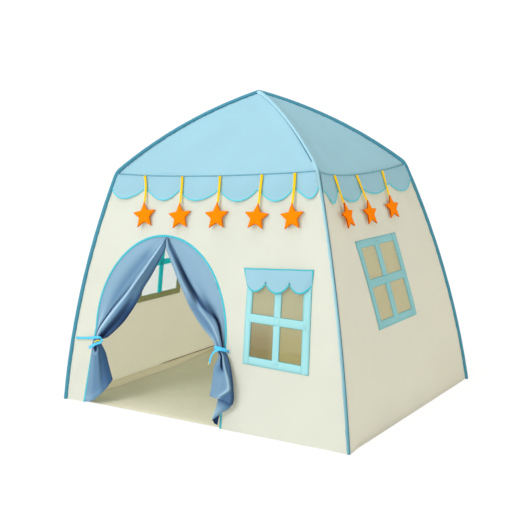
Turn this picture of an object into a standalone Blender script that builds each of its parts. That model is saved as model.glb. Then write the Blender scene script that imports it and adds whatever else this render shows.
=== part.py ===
"""Kids play tent: bowed poles in corner sleeves, a sewn cloth shell, door curtains, windows and stars.

Metres, +Z up. The origin is on the ground under the middle of the tent, and the door faces -Y.
Run with: blender --background --python part.py
"""

from math import cos, pi, radians, sin, sqrt, tan

import bmesh
import bpy
from mathutils import Matrix, Vector
from mathutils.geometry import intersect_point_line

COLLECTION = "kids_play_tent"

# Pole frame, measured between the centre lines of the poles
BASE_WIDTH = 1.28
BASE_DEPTH = 1.00
EAVE_WIDTH = 0.904
EAVE_DEPTH = 0.664
EAVE_HEIGHT = 0.89
APEX_HEIGHT = 1.18
LEG_BOW = 0.031
ROOF_BOW = 0.029
BEND_RADIUS = 0.055

# Poles, their plastic fittings and the cloth sleeves round them
POLE_DIAMETER = 0.0095
FERRULE_DIAMETER = 0.0118
FERRULE_LENGTH = 0.07
FERRULE_HEIGHT = 0.44
FERRULE_CHAMFER = 0.002
FITTING_DIAMETER = 0.013
SOCKET_DEPTH = 0.03
SOCKET_CLEARANCE = 0.0004
ELBOW_ARM = 0.045
HUB_ARM = 0.045
FOOT_CAP_HEIGHT = 0.028
FOOT_PLATE = 0.005
SLEEVE_DIAMETER = 0.0175
SLEEVE_CLOTH = 0.0015

# Cloth
GAP = 0.0003
CLOTH = 0.002
FLOOR_CLOTH = 0.002
FRONT_SEAM_SAG = 0.018
SIDE_SEAM_SAG = 0.027
ROOF_TIP_WIDTH = 0.012

# Scalloped valance under the eave seam
VALANCE_DROP = 0.055
VALANCE_LOBE = 0.037
VALANCE_FLARE = 0.006

# Star pendants
CORD_DROP = 0.1
CORD_DIAMETER = 0.007
CORD_SEWN_IN = 0.014
STAR_RADIUS = 0.0515
STAR_NOTCH_RADIUS = 0.0243
STAR_THICKNESS = 0.006

# Door, measured to the outer edge of its binding
DOOR_WIDTH = 0.636
DOOR_SPRING = 0.3
DOOR_RISE = 0.361
DOOR_LEFT_SPLAY = 0.05
DOOR_RIGHT_SPLAY = -0.008
BINDING_WIDTH = 0.008
BINDING_THICKNESS = 0.003

# Windows: a flat cloth frame over a hole that a net closes from inside
FRONT_WINDOW_HEIGHT = 0.395
FRONT_WINDOW_WIDTH = 0.258
FRONT_WINDOW_TALL = 0.335
SIDE_WINDOW_ACROSS = -0.042
SIDE_WINDOW_HEIGHT = 0.486
SIDE_WINDOW_WIDTH = 0.302
SIDE_WINDOW_TALL = 0.306
SIDE_WINDOW_LEAN = 0.034
FRAME_STRIP = 0.025
FRAME_CLOTH = 0.0015
FRAME_LAP = 0.013
NET_LAP = 0.009
NET_CLOTH = 0.001

# Scalloped flap over the front window
AWNING_WIDTH = 0.278
AWNING_SHIFT = -0.013
AWNING_RISE = 0.0025
AWNING_DROP = 0.05
AWNING_TAPER = 0.012
AWNING_LOBE = 0.032

# Curtains and the ribbons that tie them back
CURTAIN_TOP_WIDTH = 0.016
CURTAIN_PARTING = 0.01
WAIST_WIDTH = 0.042
HEM_CLEARANCE = 0.004
TIE_WIDTH = 0.014
TIE_THICKNESS = 0.0015
TIE_TURN = 0.01
TIE_SEWN_ON = 0.02
LEFT_WAIST_HEIGHT = 0.247
LEFT_TAIL_ACROSS = 0.15
LEFT_HEM_RISE = 0.104
RIGHT_WAIST_HEIGHT = 0.275
RIGHT_TAIL_ACROSS = 0.045
RIGHT_HEM_RISE = 0.104
RIGHT_SWING_ACROSS = 0.085
RIGHT_SWING_OUT = 0.05

# Plain cloth left of the door and between door and window, as shares of what they leave of the base
LEFT_PIER_SHARE = 0.2917
MIDDLE_PIER_SHARE = 0.2202

# Places chosen as shares of the half width of their own wall
FRONT_VALLEY_SHARES = (-0.643, -0.27, 0.113, 0.479, 0.8)
SIDE_VALLEY_SHARES = (-0.7, -0.196, 0.4)
FRONT_PENDANT_SHARES = (-0.64, -0.248, 0.134, 0.517, 0.825)
SIDE_PENDANT_SHARES = (-0.735, -0.25, 0.345)
FOLD_DEPTH_SHARE = 0.13
LEFT_SAG_SHARES = (0.2, 0.66)
RIGHT_SAG_SHARES = (0.38, 0.68)

# Powers that set how curves gather: a high one keeps a form close to its far end
VALANCE_FLARE_POWER = 3
FOLD_POWER = 1.5
LEFT_HEM_POWER = 1.6
RIGHT_HEM_POWER = 0.5
SWING_POWER = 0.6

# How finely curved forms are divided
LEG_STEPS = 8
ROOF_STEPS = 6
BEND_STEPS = 3
SEAM_STEPS = 8
LOBE_STEPS = 6
VALANCE_ROW_STEPS = 2
AWNING_LOBE_COUNT = 3
ARCH_STEPS = 24
PANEL_COLUMN_STEPS = 8
FOLD_COLUMN_STEPS = 18
UPPER_ROW_STEPS = ARCH_STEPS // 2 + 1
TAIL_ROW_STEPS = 6
FOLD_COUNT = 2
SETTLE_STEPS = 12
BORE_BEVEL_STEPS = 4
FITTING_BEVEL_STEPS = 3
POLE_BEVEL_STEPS = 2

# Cutting and welding
MERGE = 0.00005
SNAP = 0.0008
OVERRUN = 0.02

# Places that follow from the sizes above
SPARE_WIDTH = BASE_WIDTH - DOOR_WIDTH - DOOR_LEFT_SPLAY - FRONT_WINDOW_WIDTH
DOOR_CENTRE = LEFT_PIER_SHARE * SPARE_WIDTH + DOOR_LEFT_SPLAY + (DOOR_WIDTH - BASE_WIDTH) / 2
MIDDLE_PIER = MIDDLE_PIER_SHARE * SPARE_WIDTH
FRONT_WINDOW_ACROSS = DOOR_CENTRE + MIDDLE_PIER + (DOOR_WIDTH + FRONT_WINDOW_WIDTH) / 2
AWNING_ACROSS = FRONT_WINDOW_ACROSS + AWNING_SHIFT
AWNING_TOP = FRONT_WINDOW_HEIGHT + FRONT_WINDOW_TALL / 2 + AWNING_RISE

UP = Vector((0, 0, 1))
CORNERS = {"front_left": (-1, -1), "front_right": (1, -1), "back_right": (1, 1), "back_left": (-1, 1)}
SIDE_TURNS = {"front": 0, "right": 90, "back": 180, "left": 270}


# Scene and collections

def clear_scene():
    """Remove whatever the file holds."""
    for thing in list(bpy.data.objects):
        bpy.data.objects.remove(thing)


def new_collection(name):
    """A collection linked to the scene."""
    made = bpy.data.collections.new(name)
    bpy.context.scene.collection.children.link(made)
    return made


clear_scene()
PARTS = new_collection(COLLECTION)
CUTTERS = new_collection(COLLECTION + "_cutters")
TENT_ORIGIN = bpy.data.objects.new("tent_origin", None)
PARTS.objects.link(TENT_ORIGIN)


# Materials

def linear(channel):
    """One sRGB channel, 0 to 255, as linear light."""
    part = channel / 255
    return part / 12.92 if part <= 0.04045 else ((part + 0.055) / 1.055) ** 2.4


def make_material(name, colour, roughness, metallic=0):
    """A plain Principled material."""
    made = bpy.data.materials.new(name)
    made.use_nodes = True
    shader = made.node_tree.nodes["Principled BSDF"]
    shader.inputs["Base Color"].default_value = [linear(part) for part in colour] + [1]
    shader.inputs["Roughness"].default_value = roughness
    shader.inputs["Metallic"].default_value = metallic
    return made


MATERIALS = {
    "roof_cloth": make_material("roof_cloth", (168, 217, 233), 0.85),
    "wall_cloth": make_material("wall_cloth", (232, 231, 216), 0.85),
    "floor_cloth": make_material("floor_cloth", (196, 193, 168), 0.9),
    "curtain_cloth": make_material("curtain_cloth", (128, 168, 198), 0.75),
    "sleeve_cloth": make_material("sleeve_cloth", (98, 160, 182), 0.8),
    "trim_tape": make_material("trim_tape", (94, 205, 219), 0.7),
    "window_strip": make_material("window_strip", (158, 222, 226), 0.8),
    "net": make_material("net", (238, 240, 234), 0.6),
    "ribbon": make_material("ribbon", (95, 205, 250), 0.5),
    "star_felt": make_material("star_felt", (253, 142, 8), 0.9),
    "pole_plastic": make_material("pole_plastic", (236, 238, 238), 0.4),
    "fitting_plastic": make_material("fitting_plastic", (70, 140, 178), 0.45),
}


# Objects and meshes

def keep(thing, material, home=Vector()):
    """Finish a piece: its material, its parent and an origin at home."""
    if home.length > 0:
        thing.data.transform(Matrix.Translation(-home))
        thing.location = home
    if not thing.data.materials:
        thing.data.materials.append(MATERIALS[material])
    thing.parent = TENT_ORIGIN
    return thing


def add_object(name, data, collection=PARTS):
    """An object that holds the data, in a collection."""
    made = bpy.data.objects.new(name, data)
    collection.objects.link(made)
    return made


def as_cutter(thing):
    """Mark an object that only shapes others."""
    thing.hide_render = True
    thing.display_type = "WIRE"
    return thing


def baked(thing, name, collection=PARTS):
    """A mesh object with the evaluated, welded shape of another, which is removed."""
    bpy.context.view_layer.update()
    depsgraph = bpy.context.evaluated_depsgraph_get()
    mesh = bpy.data.meshes.new_from_object(thing.evaluated_get(depsgraph))
    form = bmesh.new()
    form.from_mesh(mesh)
    bmesh.ops.remove_doubles(form, verts=form.verts, dist=MERGE)
    form.to_mesh(mesh)
    form.free()
    mesh.name = name
    made = add_object(name, mesh, collection)
    made.matrix_world = thing.matrix_world
    bpy.data.objects.remove(thing)
    made.name = name
    return made


def tube_curve(name, points, diameter, resolution, capped=True, widths=None, collection=PARTS):
    """A round tube along points; widths scales it point by point."""
    curve = bpy.data.curves.new(name, "CURVE")
    curve.dimensions = "3D"
    curve.bevel_depth = diameter / 2
    curve.bevel_resolution = resolution
    curve.use_fill_caps = capped
    spline = curve.splines.new("POLY")
    spline.points.add(len(points) - 1)
    for index, point in enumerate(points):
        spline.points[index].co = (*point, 1)
        if widths:
            spline.points[index].radius = widths[index]
    return add_object(name, curve, collection)


def tube_mesh(name, points, diameter, resolution, capped=True, collection=PARTS):
    """The same tube as a welded mesh, for cutting and joining."""
    return baked(tube_curve(name, points, diameter, resolution, capped), name, collection)


def combine(thing, other, operation):
    """Join a cutter to a piece, or cut the piece with it."""
    as_cutter(other)
    change = thing.modifiers.new(other.name, "BOOLEAN")
    change.operation = operation
    change.object = other
    change.solver = "EXACT"


def thicken(thing, thickness, offset):
    """Give an open surface its cloth thickness."""
    shell = thing.modifiers.new("cloth", "SOLIDIFY")
    shell.thickness = thickness
    shell.offset = offset
    shell.use_even_offset = True


def flat_piece(name, outlines, thickness, collection=PARTS):
    """A flat piece cut to outlines, the inner ones as holes."""
    curve = bpy.data.curves.new(name, "CURVE")
    curve.dimensions = "2D"
    curve.fill_mode = "BOTH"
    curve.extrude = thickness / 2
    for outline in outlines:
        spline = curve.splines.new("POLY")
        spline.points.add(len(outline) - 1)
        spline.use_cyclic_u = True
        for index, (across, height) in enumerate(outline):
            spline.points[index].co = (across, height, 0, 1)
    return baked(add_object(name, curve, collection), name, collection)


def sheet(name, columns, rows, place, thickness):
    """Cloth from a grid: place takes the column share and the row number."""
    form = bmesh.new()
    bmesh.ops.create_grid(form, x_segments=columns, y_segments=rows, size=1 / 2)
    for vert in form.verts:
        vert.co = place(vert.co.x + 1 / 2, round((vert.co.y + 1 / 2) * rows))
    mesh = bpy.data.meshes.new(name)
    form.to_mesh(mesh)
    form.free()
    made = add_object(name, mesh)
    thicken(made, thickness, 0)
    return made


# Centre line of one corner: up the leg, round the eave bend and up the roof to the apex

def square_to(chord, lean):
    """The unit vector nearest to lean that is square to a chord."""
    chord = chord.normalized()
    return (lean - chord * lean.dot(chord)).normalized()


def bowed(start, end, bow, out, share):
    """A point on a pole that bows outward between its ends."""
    return start.lerp(end, share) + out * (4 * bow * share * (1 - share))


def bend_points(before, corner, after):
    """The rounded corner between two straight runs."""
    back = (before - corner).normalized()
    ahead = (after - corner).normalized()
    reach = BEND_RADIUS * tan((pi - back.angle(ahead)) / 2)
    start = corner + back * reach
    end = corner + ahead * reach
    shares = [step / BEND_STEPS for step in range(BEND_STEPS + 1)]
    return [start.lerp(corner, t).lerp(corner.lerp(end, t), t) for t in shares]


FOOT = Vector((BASE_WIDTH / 2, BASE_DEPTH / 2, 0))
EAVE = Vector((EAVE_WIDTH / 2, EAVE_DEPTH / 2, EAVE_HEIGHT))
APEX = UP * APEX_HEIGHT
OUTWARD = Vector((EAVE.x, EAVE.y, 0)).normalized()
LEG_OUT = square_to(EAVE - FOOT, OUTWARD)
ROOF_OUT = square_to(APEX - EAVE, OUTWARD / 2 + UP)
LEG_POINTS = [bowed(FOOT, EAVE, LEG_BOW, LEG_OUT, k / LEG_STEPS) for k in range(LEG_STEPS + 1)]
ROOF_POINTS = [bowed(EAVE, APEX, ROOF_BOW, ROOF_OUT, k / ROOF_STEPS) for k in range(ROOF_STEPS + 1)]
BEND = bend_points(LEG_POINTS[-2], EAVE, ROOF_POINTS[1])
LINE = LEG_POINTS[:-1] + BEND + ROOF_POINTS[1:]
RUNS = [0]
for before, after in zip(LINE, LINE[1:]):
    RUNS.append(RUNS[-1] + (after - before).length)
EAVE_RUN = (RUNS[LEG_STEPS] + RUNS[LEG_STEPS + BEND_STEPS]) / 2
APEX_RUN = RUNS[-1]


def line_point(run):
    """The point of the centre line at a distance from the ground, also past its ends."""
    index = 0
    while index < len(RUNS) - 2 and run > RUNS[index + 1]:
        index += 1
    share = (run - RUNS[index]) / (RUNS[index + 1] - RUNS[index])
    return LINE[index] + (LINE[index + 1] - LINE[index]) * share


def stretch(start, end, corner=(1, 1)):
    """The centre line between two distances, in the given corner of the tent."""
    inner = [point for point, run in zip(LINE, RUNS) if start + SNAP < run < end - SNAP]
    points = [line_point(start)] + inner + [line_point(end)]
    return [Vector((point.x * corner[0], point.y * corner[1], point.z)) for point in points]


def distance_to_line(point, line):
    """The shortest distance from a point to a run of points."""
    best = (point - line[0]).length
    for start, end in zip(line, line[1:]):
        share = intersect_point_line(point, start, end)[1]
        near = start.lerp(end, min(max(share, 0), 1))
        best = min(best, (point - near).length)
    return best


def between(places, values, place):
    """A value read between the places of a table."""
    index = 0
    while index < len(places) - 2 and place > places[index + 1]:
        index += 1
    share = (place - places[index]) / (places[index + 1] - places[index])
    return values[index] + (values[index + 1] - values[index]) * share


# Faces of the tent, each drawn as if it were the front: x across, -y outward

SEAM_RELIEF = CLOTH / 2 + GAP
SLEEVE_REACH = SLEEVE_DIAMETER / 2 + GAP


class Face:
    """Where cloth lies on one pair of opposite sides."""

    def __init__(self, turned):
        self.turned = turned
        self.sag = SIDE_SEAM_SAG if turned else FRONT_SEAM_SAG
        self.line = [self.seen(point) for point in LINE]
        self.levels = [point.z for point in LEG_POINTS]
        self.depths = [self.seen(point).y for point in LEG_POINTS]
        self.edges = [self.clear_of_sleeve(self.seen(point)) for point in LEG_POINTS]

    def seen(self, point):
        """A point of the front right corner, as this face sees it."""
        return Vector((point.y, point.x, point.z)) if self.turned else point.copy()

    def clear_of_sleeve(self, point):
        """How far across the cloth reaches before it meets the sleeve."""
        near = point.copy()
        for _ in range(SETTLE_STEPS):
            near.x -= SLEEVE_REACH - distance_to_line(near, self.line)
        return near.x

    def depth(self, height):
        """How far the middle of the wall cloth stands from the tent's middle."""
        return between(self.levels, self.depths, height)

    def edge(self, height):
        """Half the width of the wall cloth."""
        return between(self.levels, self.edges, height)

    def at(self, across, height, out=0):
        """A place on the wall, out from the middle of its cloth."""
        return Vector((across, -self.depth(height) - out, height))

    def seam(self, share):
        """Height of the eave seam at a share of the half width."""
        return EAVE_HEIGHT - self.sag * (1 - share * share)

    def ridge(self, row):
        """The roof pole's centre at a number of rows above the eave, as this face sees it."""
        index = min(int(row), ROOF_STEPS - 1)
        return self.seen(ROOF_POINTS[index].lerp(ROOF_POINTS[index + 1], row - index))

    def roof_rows(self):
        """Rows of the roof cloth, from just above the seam to its narrow tip."""
        low, high = 1, ROOF_STEPS
        for _ in range(2 * SETTLE_STEPS):
            middle = (low + high) / 2
            if self.clear_of_sleeve(self.ridge(middle)) > ROOF_TIP_WIDTH / 2:
                low = middle
            else:
                high = middle
        first = SEAM_RELIEF / (ROOF_POINTS[1] - ROOF_POINTS[0]).length
        return [first] + [row for row in range(1, ROOF_STEPS) if row < low - first] + [low]

    def roof_at(self, share, row):
        """A place on the roof cloth."""
        ridge = self.ridge(row)
        loose = (1 - share * share) * (1 - row / ROOF_STEPS) ** 2
        seam_out = self.depth(EAVE_HEIGHT - self.sag) - self.depth(EAVE_HEIGHT)
        across = share * self.clear_of_sleeve(ridge)
        return Vector((across, -ridge.y - seam_out * loose, ridge.z - self.sag * loose))


FACES = {"front": Face(False), "right": Face(True), "back": Face(False), "left": Face(True)}


def turn(thing, side):
    """Turn a piece drawn at the front to its own side of the tent."""
    angle = radians(SIDE_TURNS[side])
    thing.rotation_euler.z = angle
    thing.location = Matrix.Rotation(angle, 3, "Z") @ thing.location
    return thing


def cut_cloth(name, outlines, face, out, thickness):
    """Cloth cut to flat outlines and laid on a wall."""
    made = flat_piece(name, outlines, thickness)
    form = bmesh.new()
    form.from_mesh(made.data)
    for level in face.levels[1:-1]:
        everything = form.verts[:] + form.edges[:] + form.faces[:]
        plane = {"plane_co": (0, level, 0), "plane_no": (0, 1, 0)}
        bmesh.ops.bisect_plane(form, geom=everything, dist=SNAP, **plane)
    for vert in form.verts:
        vert.co = face.at(vert.co.x, vert.co.y, out + vert.co.z)
    form.to_mesh(made.data)
    form.free()
    return made


# Pole frame

def make_corner(name, corner):
    """Foot cap, leg, elbow, roof pole and sleeve of one corner."""
    bore = POLE_DIAMETER + 2 * SOCKET_CLEARANCE
    lower_socket = EAVE_RUN - ELBOW_ARM + SOCKET_DEPTH
    upper_socket = EAVE_RUN + ELBOW_ARM - SOCKET_DEPTH
    hub_socket = APEX_RUN - HUB_ARM + SOCKET_DEPTH
    quadrant = make_quadrant(name, corner)
    foot = stretch(0, 0, corner)[0]
    eave = stretch(EAVE_RUN, EAVE_RUN, corner)[0]

    cap = tube_mesh("foot_cap_" + name, stretch(-OVERRUN, FOOT_CAP_HEIGHT, corner), FITTING_DIAMETER,
                    BORE_BEVEL_STEPS)
    cut_run = stretch(FOOT_PLATE, FOOT_CAP_HEIGHT + OVERRUN, corner)
    combine(cap, quadrant, "INTERSECT")
    cutter = tube_mesh("foot_bore_" + name, cut_run, bore, BORE_BEVEL_STEPS, collection=CUTTERS)
    combine(cap, cutter, "DIFFERENCE")
    keep(cap, "fitting_plastic", foot)

    make_leg_pole(name, corner, FOOT_PLATE + GAP, lower_socket - GAP)

    elbow = tube_mesh("eave_elbow_" + name, stretch(EAVE_RUN - ELBOW_ARM, EAVE_RUN + ELBOW_ARM, corner),
                      FITTING_DIAMETER, FITTING_BEVEL_STEPS)
    bores = {
        "lower": (EAVE_RUN - ELBOW_ARM - OVERRUN, lower_socket),
        "upper": (upper_socket, EAVE_RUN + ELBOW_ARM + OVERRUN),
    }
    for end, (start, stop) in bores.items():
        cut_run = stretch(start, stop, corner)
        cutter = tube_mesh(f"{end}_bore_{name}", cut_run, bore, BORE_BEVEL_STEPS, collection=CUTTERS)
        combine(elbow, cutter, "DIFFERENCE")
    keep(elbow, "fitting_plastic", eave)

    roof_run = stretch(upper_socket + GAP, hub_socket - GAP, corner)
    keep(tube_curve("roof_pole_" + name, roof_run, POLE_DIAMETER, POLE_BEVEL_STEPS), "pole_plastic", eave)

    sleeve_run = stretch(-OVERRUN, APEX_RUN + OVERRUN, corner)
    sleeve_name = "corner_sleeve_" + name
    sleeve = tube_mesh(sleeve_name, sleeve_run, SLEEVE_DIAMETER, FITTING_BEVEL_STEPS, capped=False)
    thicken(sleeve, SLEEVE_CLOTH, -1)
    combine(sleeve, quadrant, "INTERSECT")
    keep(sleeve, "sleeve_cloth", foot)


def make_quadrant(name, corner):
    """A block over one quarter of the tent, which trims sleeves at the ground and at the apex."""
    form = bmesh.new()
    bmesh.ops.create_cube(form, size=1)
    size = Vector((BASE_WIDTH, BASE_DEPTH, 2 * APEX_HEIGHT))
    middle = Vector((corner[0] * (size.x + GAP) / 2, corner[1] * (size.y + GAP) / 2, size.z / 2))
    for vert in form.verts:
        vert.co = vert.co * size + middle
    mesh = bpy.data.meshes.new("quadrant_" + name)
    form.to_mesh(mesh)
    form.free()
    return as_cutter(add_object(mesh.name, mesh, CUTTERS))


def make_leg_pole(name, corner, start, end):
    """A leg in two halves that a ferrule joins, drawn as one turned rod."""
    low = FERRULE_HEIGHT - FERRULE_LENGTH / 2
    high = FERRULE_HEIGHT + FERRULE_LENGTH / 2
    shoulders = [low, low + FERRULE_CHAMFER, high - FERRULE_CHAMFER, high]
    runs = [start, *shoulders, end]
    inner = [run for run in RUNS if start < run < end]
    inner = [run for run in inner if all(abs(run - other) > FERRULE_CHAMFER for other in runs)]
    runs = sorted(runs + inner)
    wide = FERRULE_DIAMETER / POLE_DIAMETER
    widths = [wide if shoulders[1] <= run <= shoulders[2] else 1 for run in runs]
    points = [stretch(run, run, corner)[0] for run in runs]
    pole = tube_curve("leg_pole_" + name, points, POLE_DIAMETER, POLE_BEVEL_STEPS, widths=widths)
    keep(pole, "pole_plastic", points[0])


def make_hub():
    """Four sockets that meet at the apex: two bent tubes that cross there, one a little slimmer."""
    bore = POLE_DIAMETER + 2 * SOCKET_CLEARANCE
    arm_start = APEX_RUN - HUB_ARM
    bars = []
    for name, corner in list(CORNERS.items())[:2]:
        arm = stretch(arm_start, APEX_RUN, corner)
        far_arm = [Vector((-point.x, -point.y, point.z)) for point in arm]
        points = arm + far_arm[-2::-1]
        diameter = FITTING_DIAMETER - len(bars) * GAP
        home = CUTTERS if bars else PARTS
        bar = tube_mesh("hub_bar_" + name, points, diameter, FITTING_BEVEL_STEPS, collection=home)
        bars.append(bar)
    hub, bar = bars
    hub.name = "top_hub"
    combine(hub, bar, "UNION")
    for name, corner in CORNERS.items():
        run = stretch(arm_start - OVERRUN, arm_start + SOCKET_DEPTH, corner)
        cutter = tube_mesh("hub_bore_" + name, run, bore, BORE_BEVEL_STEPS, collection=CUTTERS)
        combine(hub, cutter, "DIFFERENCE")
    keep(hub, "fitting_plastic")


# Walls, floor and roof

def door_half_width(height, side, inset):
    """From the door's middle line to its edge, set in from the binding's outer edge."""
    half = DOOR_WIDTH / 2 - inset
    if height >= DOOR_SPRING:
        lift = min((height - DOOR_SPRING) / (DOOR_RISE - inset), 1)
        return half * sqrt(1 - lift * lift)
    splay = DOOR_LEFT_SPLAY if side < 0 else DOOR_RIGHT_SPLAY
    return half + splay * (1 - height / DOOR_SPRING)


def door_outline(inset):
    """The arch from its left foot over the top to its right foot."""
    half = DOOR_WIDTH / 2 - inset
    angles = [pi * step / ARCH_STEPS for step in range(ARCH_STEPS + 1)]
    arch = [(DOOR_CENTRE - half * cos(a), DOOR_SPRING + (DOOR_RISE - inset) * sin(a)) for a in angles]
    left_foot = (DOOR_CENTRE - door_half_width(0, -1, inset), 0)
    right_foot = (DOOR_CENTRE + door_half_width(0, 1, inset), 0)
    return [left_foot, *arch, right_foot]


def wall_outline(face):
    """A wall without its door, from its bottom left corner round to its bottom right corner."""
    rising = [(face.edge(level), level) for level in face.levels[:-1]]
    shares = [1 - 2 * step / SEAM_STEPS for step in range(SEAM_STEPS + 1)]
    tops = [face.seam(share) - SEAM_RELIEF for share in shares]
    top = [(share * face.edge(height), height) for share, height in zip(shares, tops)]
    right = rising + top[:1]
    left = [(-across, height) for across, height in reversed(right)]
    return left[-1:] + right + top[1:-1] + left[:-1]


def window_place(side):
    """A window's middle across and in height, its half width, its half height and its lean."""
    if side == "front":
        return (FRONT_WINDOW_ACROSS, FRONT_WINDOW_HEIGHT, FRONT_WINDOW_WIDTH / 2, FRONT_WINDOW_TALL / 2, 0)
    lean = SIDE_WINDOW_LEAN / SIDE_WINDOW_TALL
    return (SIDE_WINDOW_ACROSS, SIDE_WINDOW_HEIGHT, SIDE_WINDOW_WIDTH / 2, SIDE_WINDOW_TALL / 2, lean)


def window_rectangle(side, left, right, bottom, top):
    """Four corners about a window's middle, which lean with it."""
    middle, height, _, _, lean = window_place(side)
    corners = [(left, bottom), (right, bottom), (right, top), (left, top)]
    return [(middle + across - lean * rise, height + rise) for across, rise in corners]


def window_box(side, inset):
    """A window's outline, set in from the edge of its frame."""
    half, tall = (reach - inset for reach in window_place(side)[2:4])
    return window_rectangle(side, -half, half, -tall, tall)


def make_walls():
    """Four walls, with the door and the window holes cut out."""
    for side, face in FACES.items():
        outlines = [wall_outline(face)]
        if side == "front":
            outlines[0] = outlines[0][:1] + door_outline(-GAP) + outlines[0][1:]
        if side != "back":
            outlines.append(window_box(side, FRAME_LAP))
        wall = cut_cloth("wall_" + side, outlines, face, 0, CLOTH)
        turn(keep(wall, "wall_cloth"), side)


def make_floor():
    """The groundsheet, trimmed at its corners for the sleeves."""
    inset = BINDING_THICKNESS / 2 + GAP
    half_width = FACES["right"].depth(FLOOR_CLOTH) - inset
    half_depth = FACES["front"].depth(FLOOR_CLOTH) - inset
    trim = SLEEVE_REACH * sqrt(2)
    quarter = [(half_width - trim, half_depth), (half_width, half_depth - trim)]
    outline = quarter + [(across, -depth) for across, depth in reversed(quarter)]
    outline += [(-across, -depth) for across, depth in quarter]
    outline += [(-across, depth) for across, depth in reversed(quarter)]
    floor = flat_piece("floor_sheet", [outline], FLOOR_CLOTH)
    floor.location.z = FLOOR_CLOTH / 2
    keep(floor, "floor_cloth")


def make_roof():
    """Four bowed panels between the roof poles."""
    for side, face in FACES.items():
        rows = face.roof_rows()

        def place(share, row, face=face, rows=rows):
            return face.roof_at(2 * share - 1, rows[row])

        panel = sheet("roof_panel_" + side, PANEL_COLUMN_STEPS, len(rows) - 1, place, CLOTH)
        turn(keep(panel, "roof_cloth"), side)


# Valances and star pendants

def valley_shares(side):
    """Where lobes of a valance meet, with its two ends."""
    inner = FRONT_VALLEY_SHARES if side in ("front", "back") else SIDE_VALLEY_SHARES
    return (-1, *inner, 1)


def make_valances():
    """Scalloped strips that hang from the eave seam and flare at each lobe."""
    for side, face in FACES.items():
        valleys = valley_shares(side)
        lobes = len(valleys) - 1

        def place(share, row, face=face, valleys=valleys, lobes=lobes):
            lobe = min(int(share * lobes + MERGE), lobes - 1)
            along = share * lobes - lobe
            across = valleys[lobe] + (valleys[lobe + 1] - valleys[lobe]) * along
            swell = sin(pi * along)
            drop = (VALANCE_DROP + VALANCE_LOBE * swell) * row / VALANCE_ROW_STEPS
            height = face.seam(across) - drop
            out = CLOTH + GAP + VALANCE_FLARE * swell ** VALANCE_FLARE_POWER * row / VALANCE_ROW_STEPS
            return face.at(across * face.edge(height), height, out)

        valance = sheet("valance_" + side, LOBE_STEPS * lobes, VALANCE_ROW_STEPS, place, CLOTH)
        turn(keep(valance, "roof_cloth"), side)


PENDANT_OUT = CLOTH + GAP + CLOTH / 2 + 3 * GAP + CORD_DIAMETER / 2


def star_outline():
    """Ten corners of a five-pointed star, one point up."""
    outline = []
    for step in range(10):
        reach = STAR_NOTCH_RADIUS if step % 2 else STAR_RADIUS
        outline.append((-reach * sin(pi * step / 5), reach * cos(pi * step / 5)))
    return outline


def make_pendant_mesh(name, face):
    """A star on its cord, hanging from the origin against the slope of a wall."""
    seam = EAVE_HEIGHT - face.sag
    top = face.at(0, seam, PENDANT_OUT)
    tip = face.at(0, seam - CORD_DROP, PENDANT_OUT) - top
    low = face.at(0, seam - CORD_DROP - STAR_RADIUS, PENDANT_OUT) - top
    upward = (tip - low).normalized()
    points = [Vector(), *(face.at(0, level, PENDANT_OUT) - top for level in reversed(face.levels)
                          if seam - CORD_DROP + SNAP < level < seam - SNAP), tip]
    cord = tube_mesh(name, points + [tip - upward * CORD_SEWN_IN], CORD_DIAMETER, POLE_BEVEL_STEPS)
    star = flat_piece("star_" + name, [star_outline()], STAR_THICKNESS, CUTTERS)
    outward = Vector((1, 0, 0)).cross(upward)
    turned = Matrix((Vector((1, 0, 0)), upward, outward)).transposed().to_4x4()
    star.data.transform(Matrix.Translation(tip - upward * STAR_RADIUS) @ turned)
    combine(cord, star, "UNION")
    pendant = baked(cord, name)
    pendant.data.materials.clear()
    pendant.data.materials.append(MATERIALS["star_felt"])
    mesh = pendant.data
    bpy.data.objects.remove(pendant)
    return mesh


def make_pendants():
    """Stars by the valleys of the front and side valances, each free to swing about the seam."""
    meshes = {turned: make_pendant_mesh(f"pendant_{int(turned)}", Face(turned)) for turned in (False, True)}
    for side in ("front", "right", "left"):
        face = FACES[side]
        shares = SIDE_PENDANT_SHARES if face.turned else FRONT_PENDANT_SHARES
        for number, share in enumerate(shares, 1):
            height = face.seam(share)
            pendant = add_object(f"star_pendant_{side}_{number}", meshes[face.turned])
            pendant.location = face.at(share * face.edge(height), height, PENDANT_OUT)
            turn(keep(pendant, "star_felt"), side)


# Door trim, windows and awning

def make_door_binding():
    """The tape round the door's edge, which fills the wall's arch as a rim."""
    outline = door_outline(0) + door_outline(BINDING_WIDTH)[::-1]
    binding = cut_cloth("door_binding", [outline], FACES["front"], 0, BINDING_THICKNESS)
    keep(binding, "trim_tape")


def make_windows():
    """For each window a flat frame with crossed bars outside, and a net inside."""
    frame_out = (CLOTH + FRAME_CLOTH) / 2 + GAP
    net_out = -(CLOTH + NET_CLOTH) / 2 - GAP
    for side in ("front", "right", "left"):
        face = FACES[side]
        half, tall = window_place(side)[2:4]
        columns = [(FRAME_STRIP - half, -FRAME_STRIP / 2), (FRAME_STRIP / 2, half - FRAME_STRIP)]
        rows = [(FRAME_STRIP - tall, -FRAME_STRIP / 2), (FRAME_STRIP / 2, tall - FRAME_STRIP)]
        panes = [window_rectangle(side, *column, *row) for column in columns for row in rows]
        outlines = [window_box(side, 0), *panes]
        frame = cut_cloth("window_frame_" + side, outlines, face, frame_out, FRAME_CLOTH)
        turn(keep(frame, "window_strip"), side)
        net_outline = window_box(side, FRAME_LAP - NET_LAP)
        net = cut_cloth("window_net_" + side, [net_outline], face, net_out, NET_CLOTH)
        turn(keep(net, "net"), side)


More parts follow.
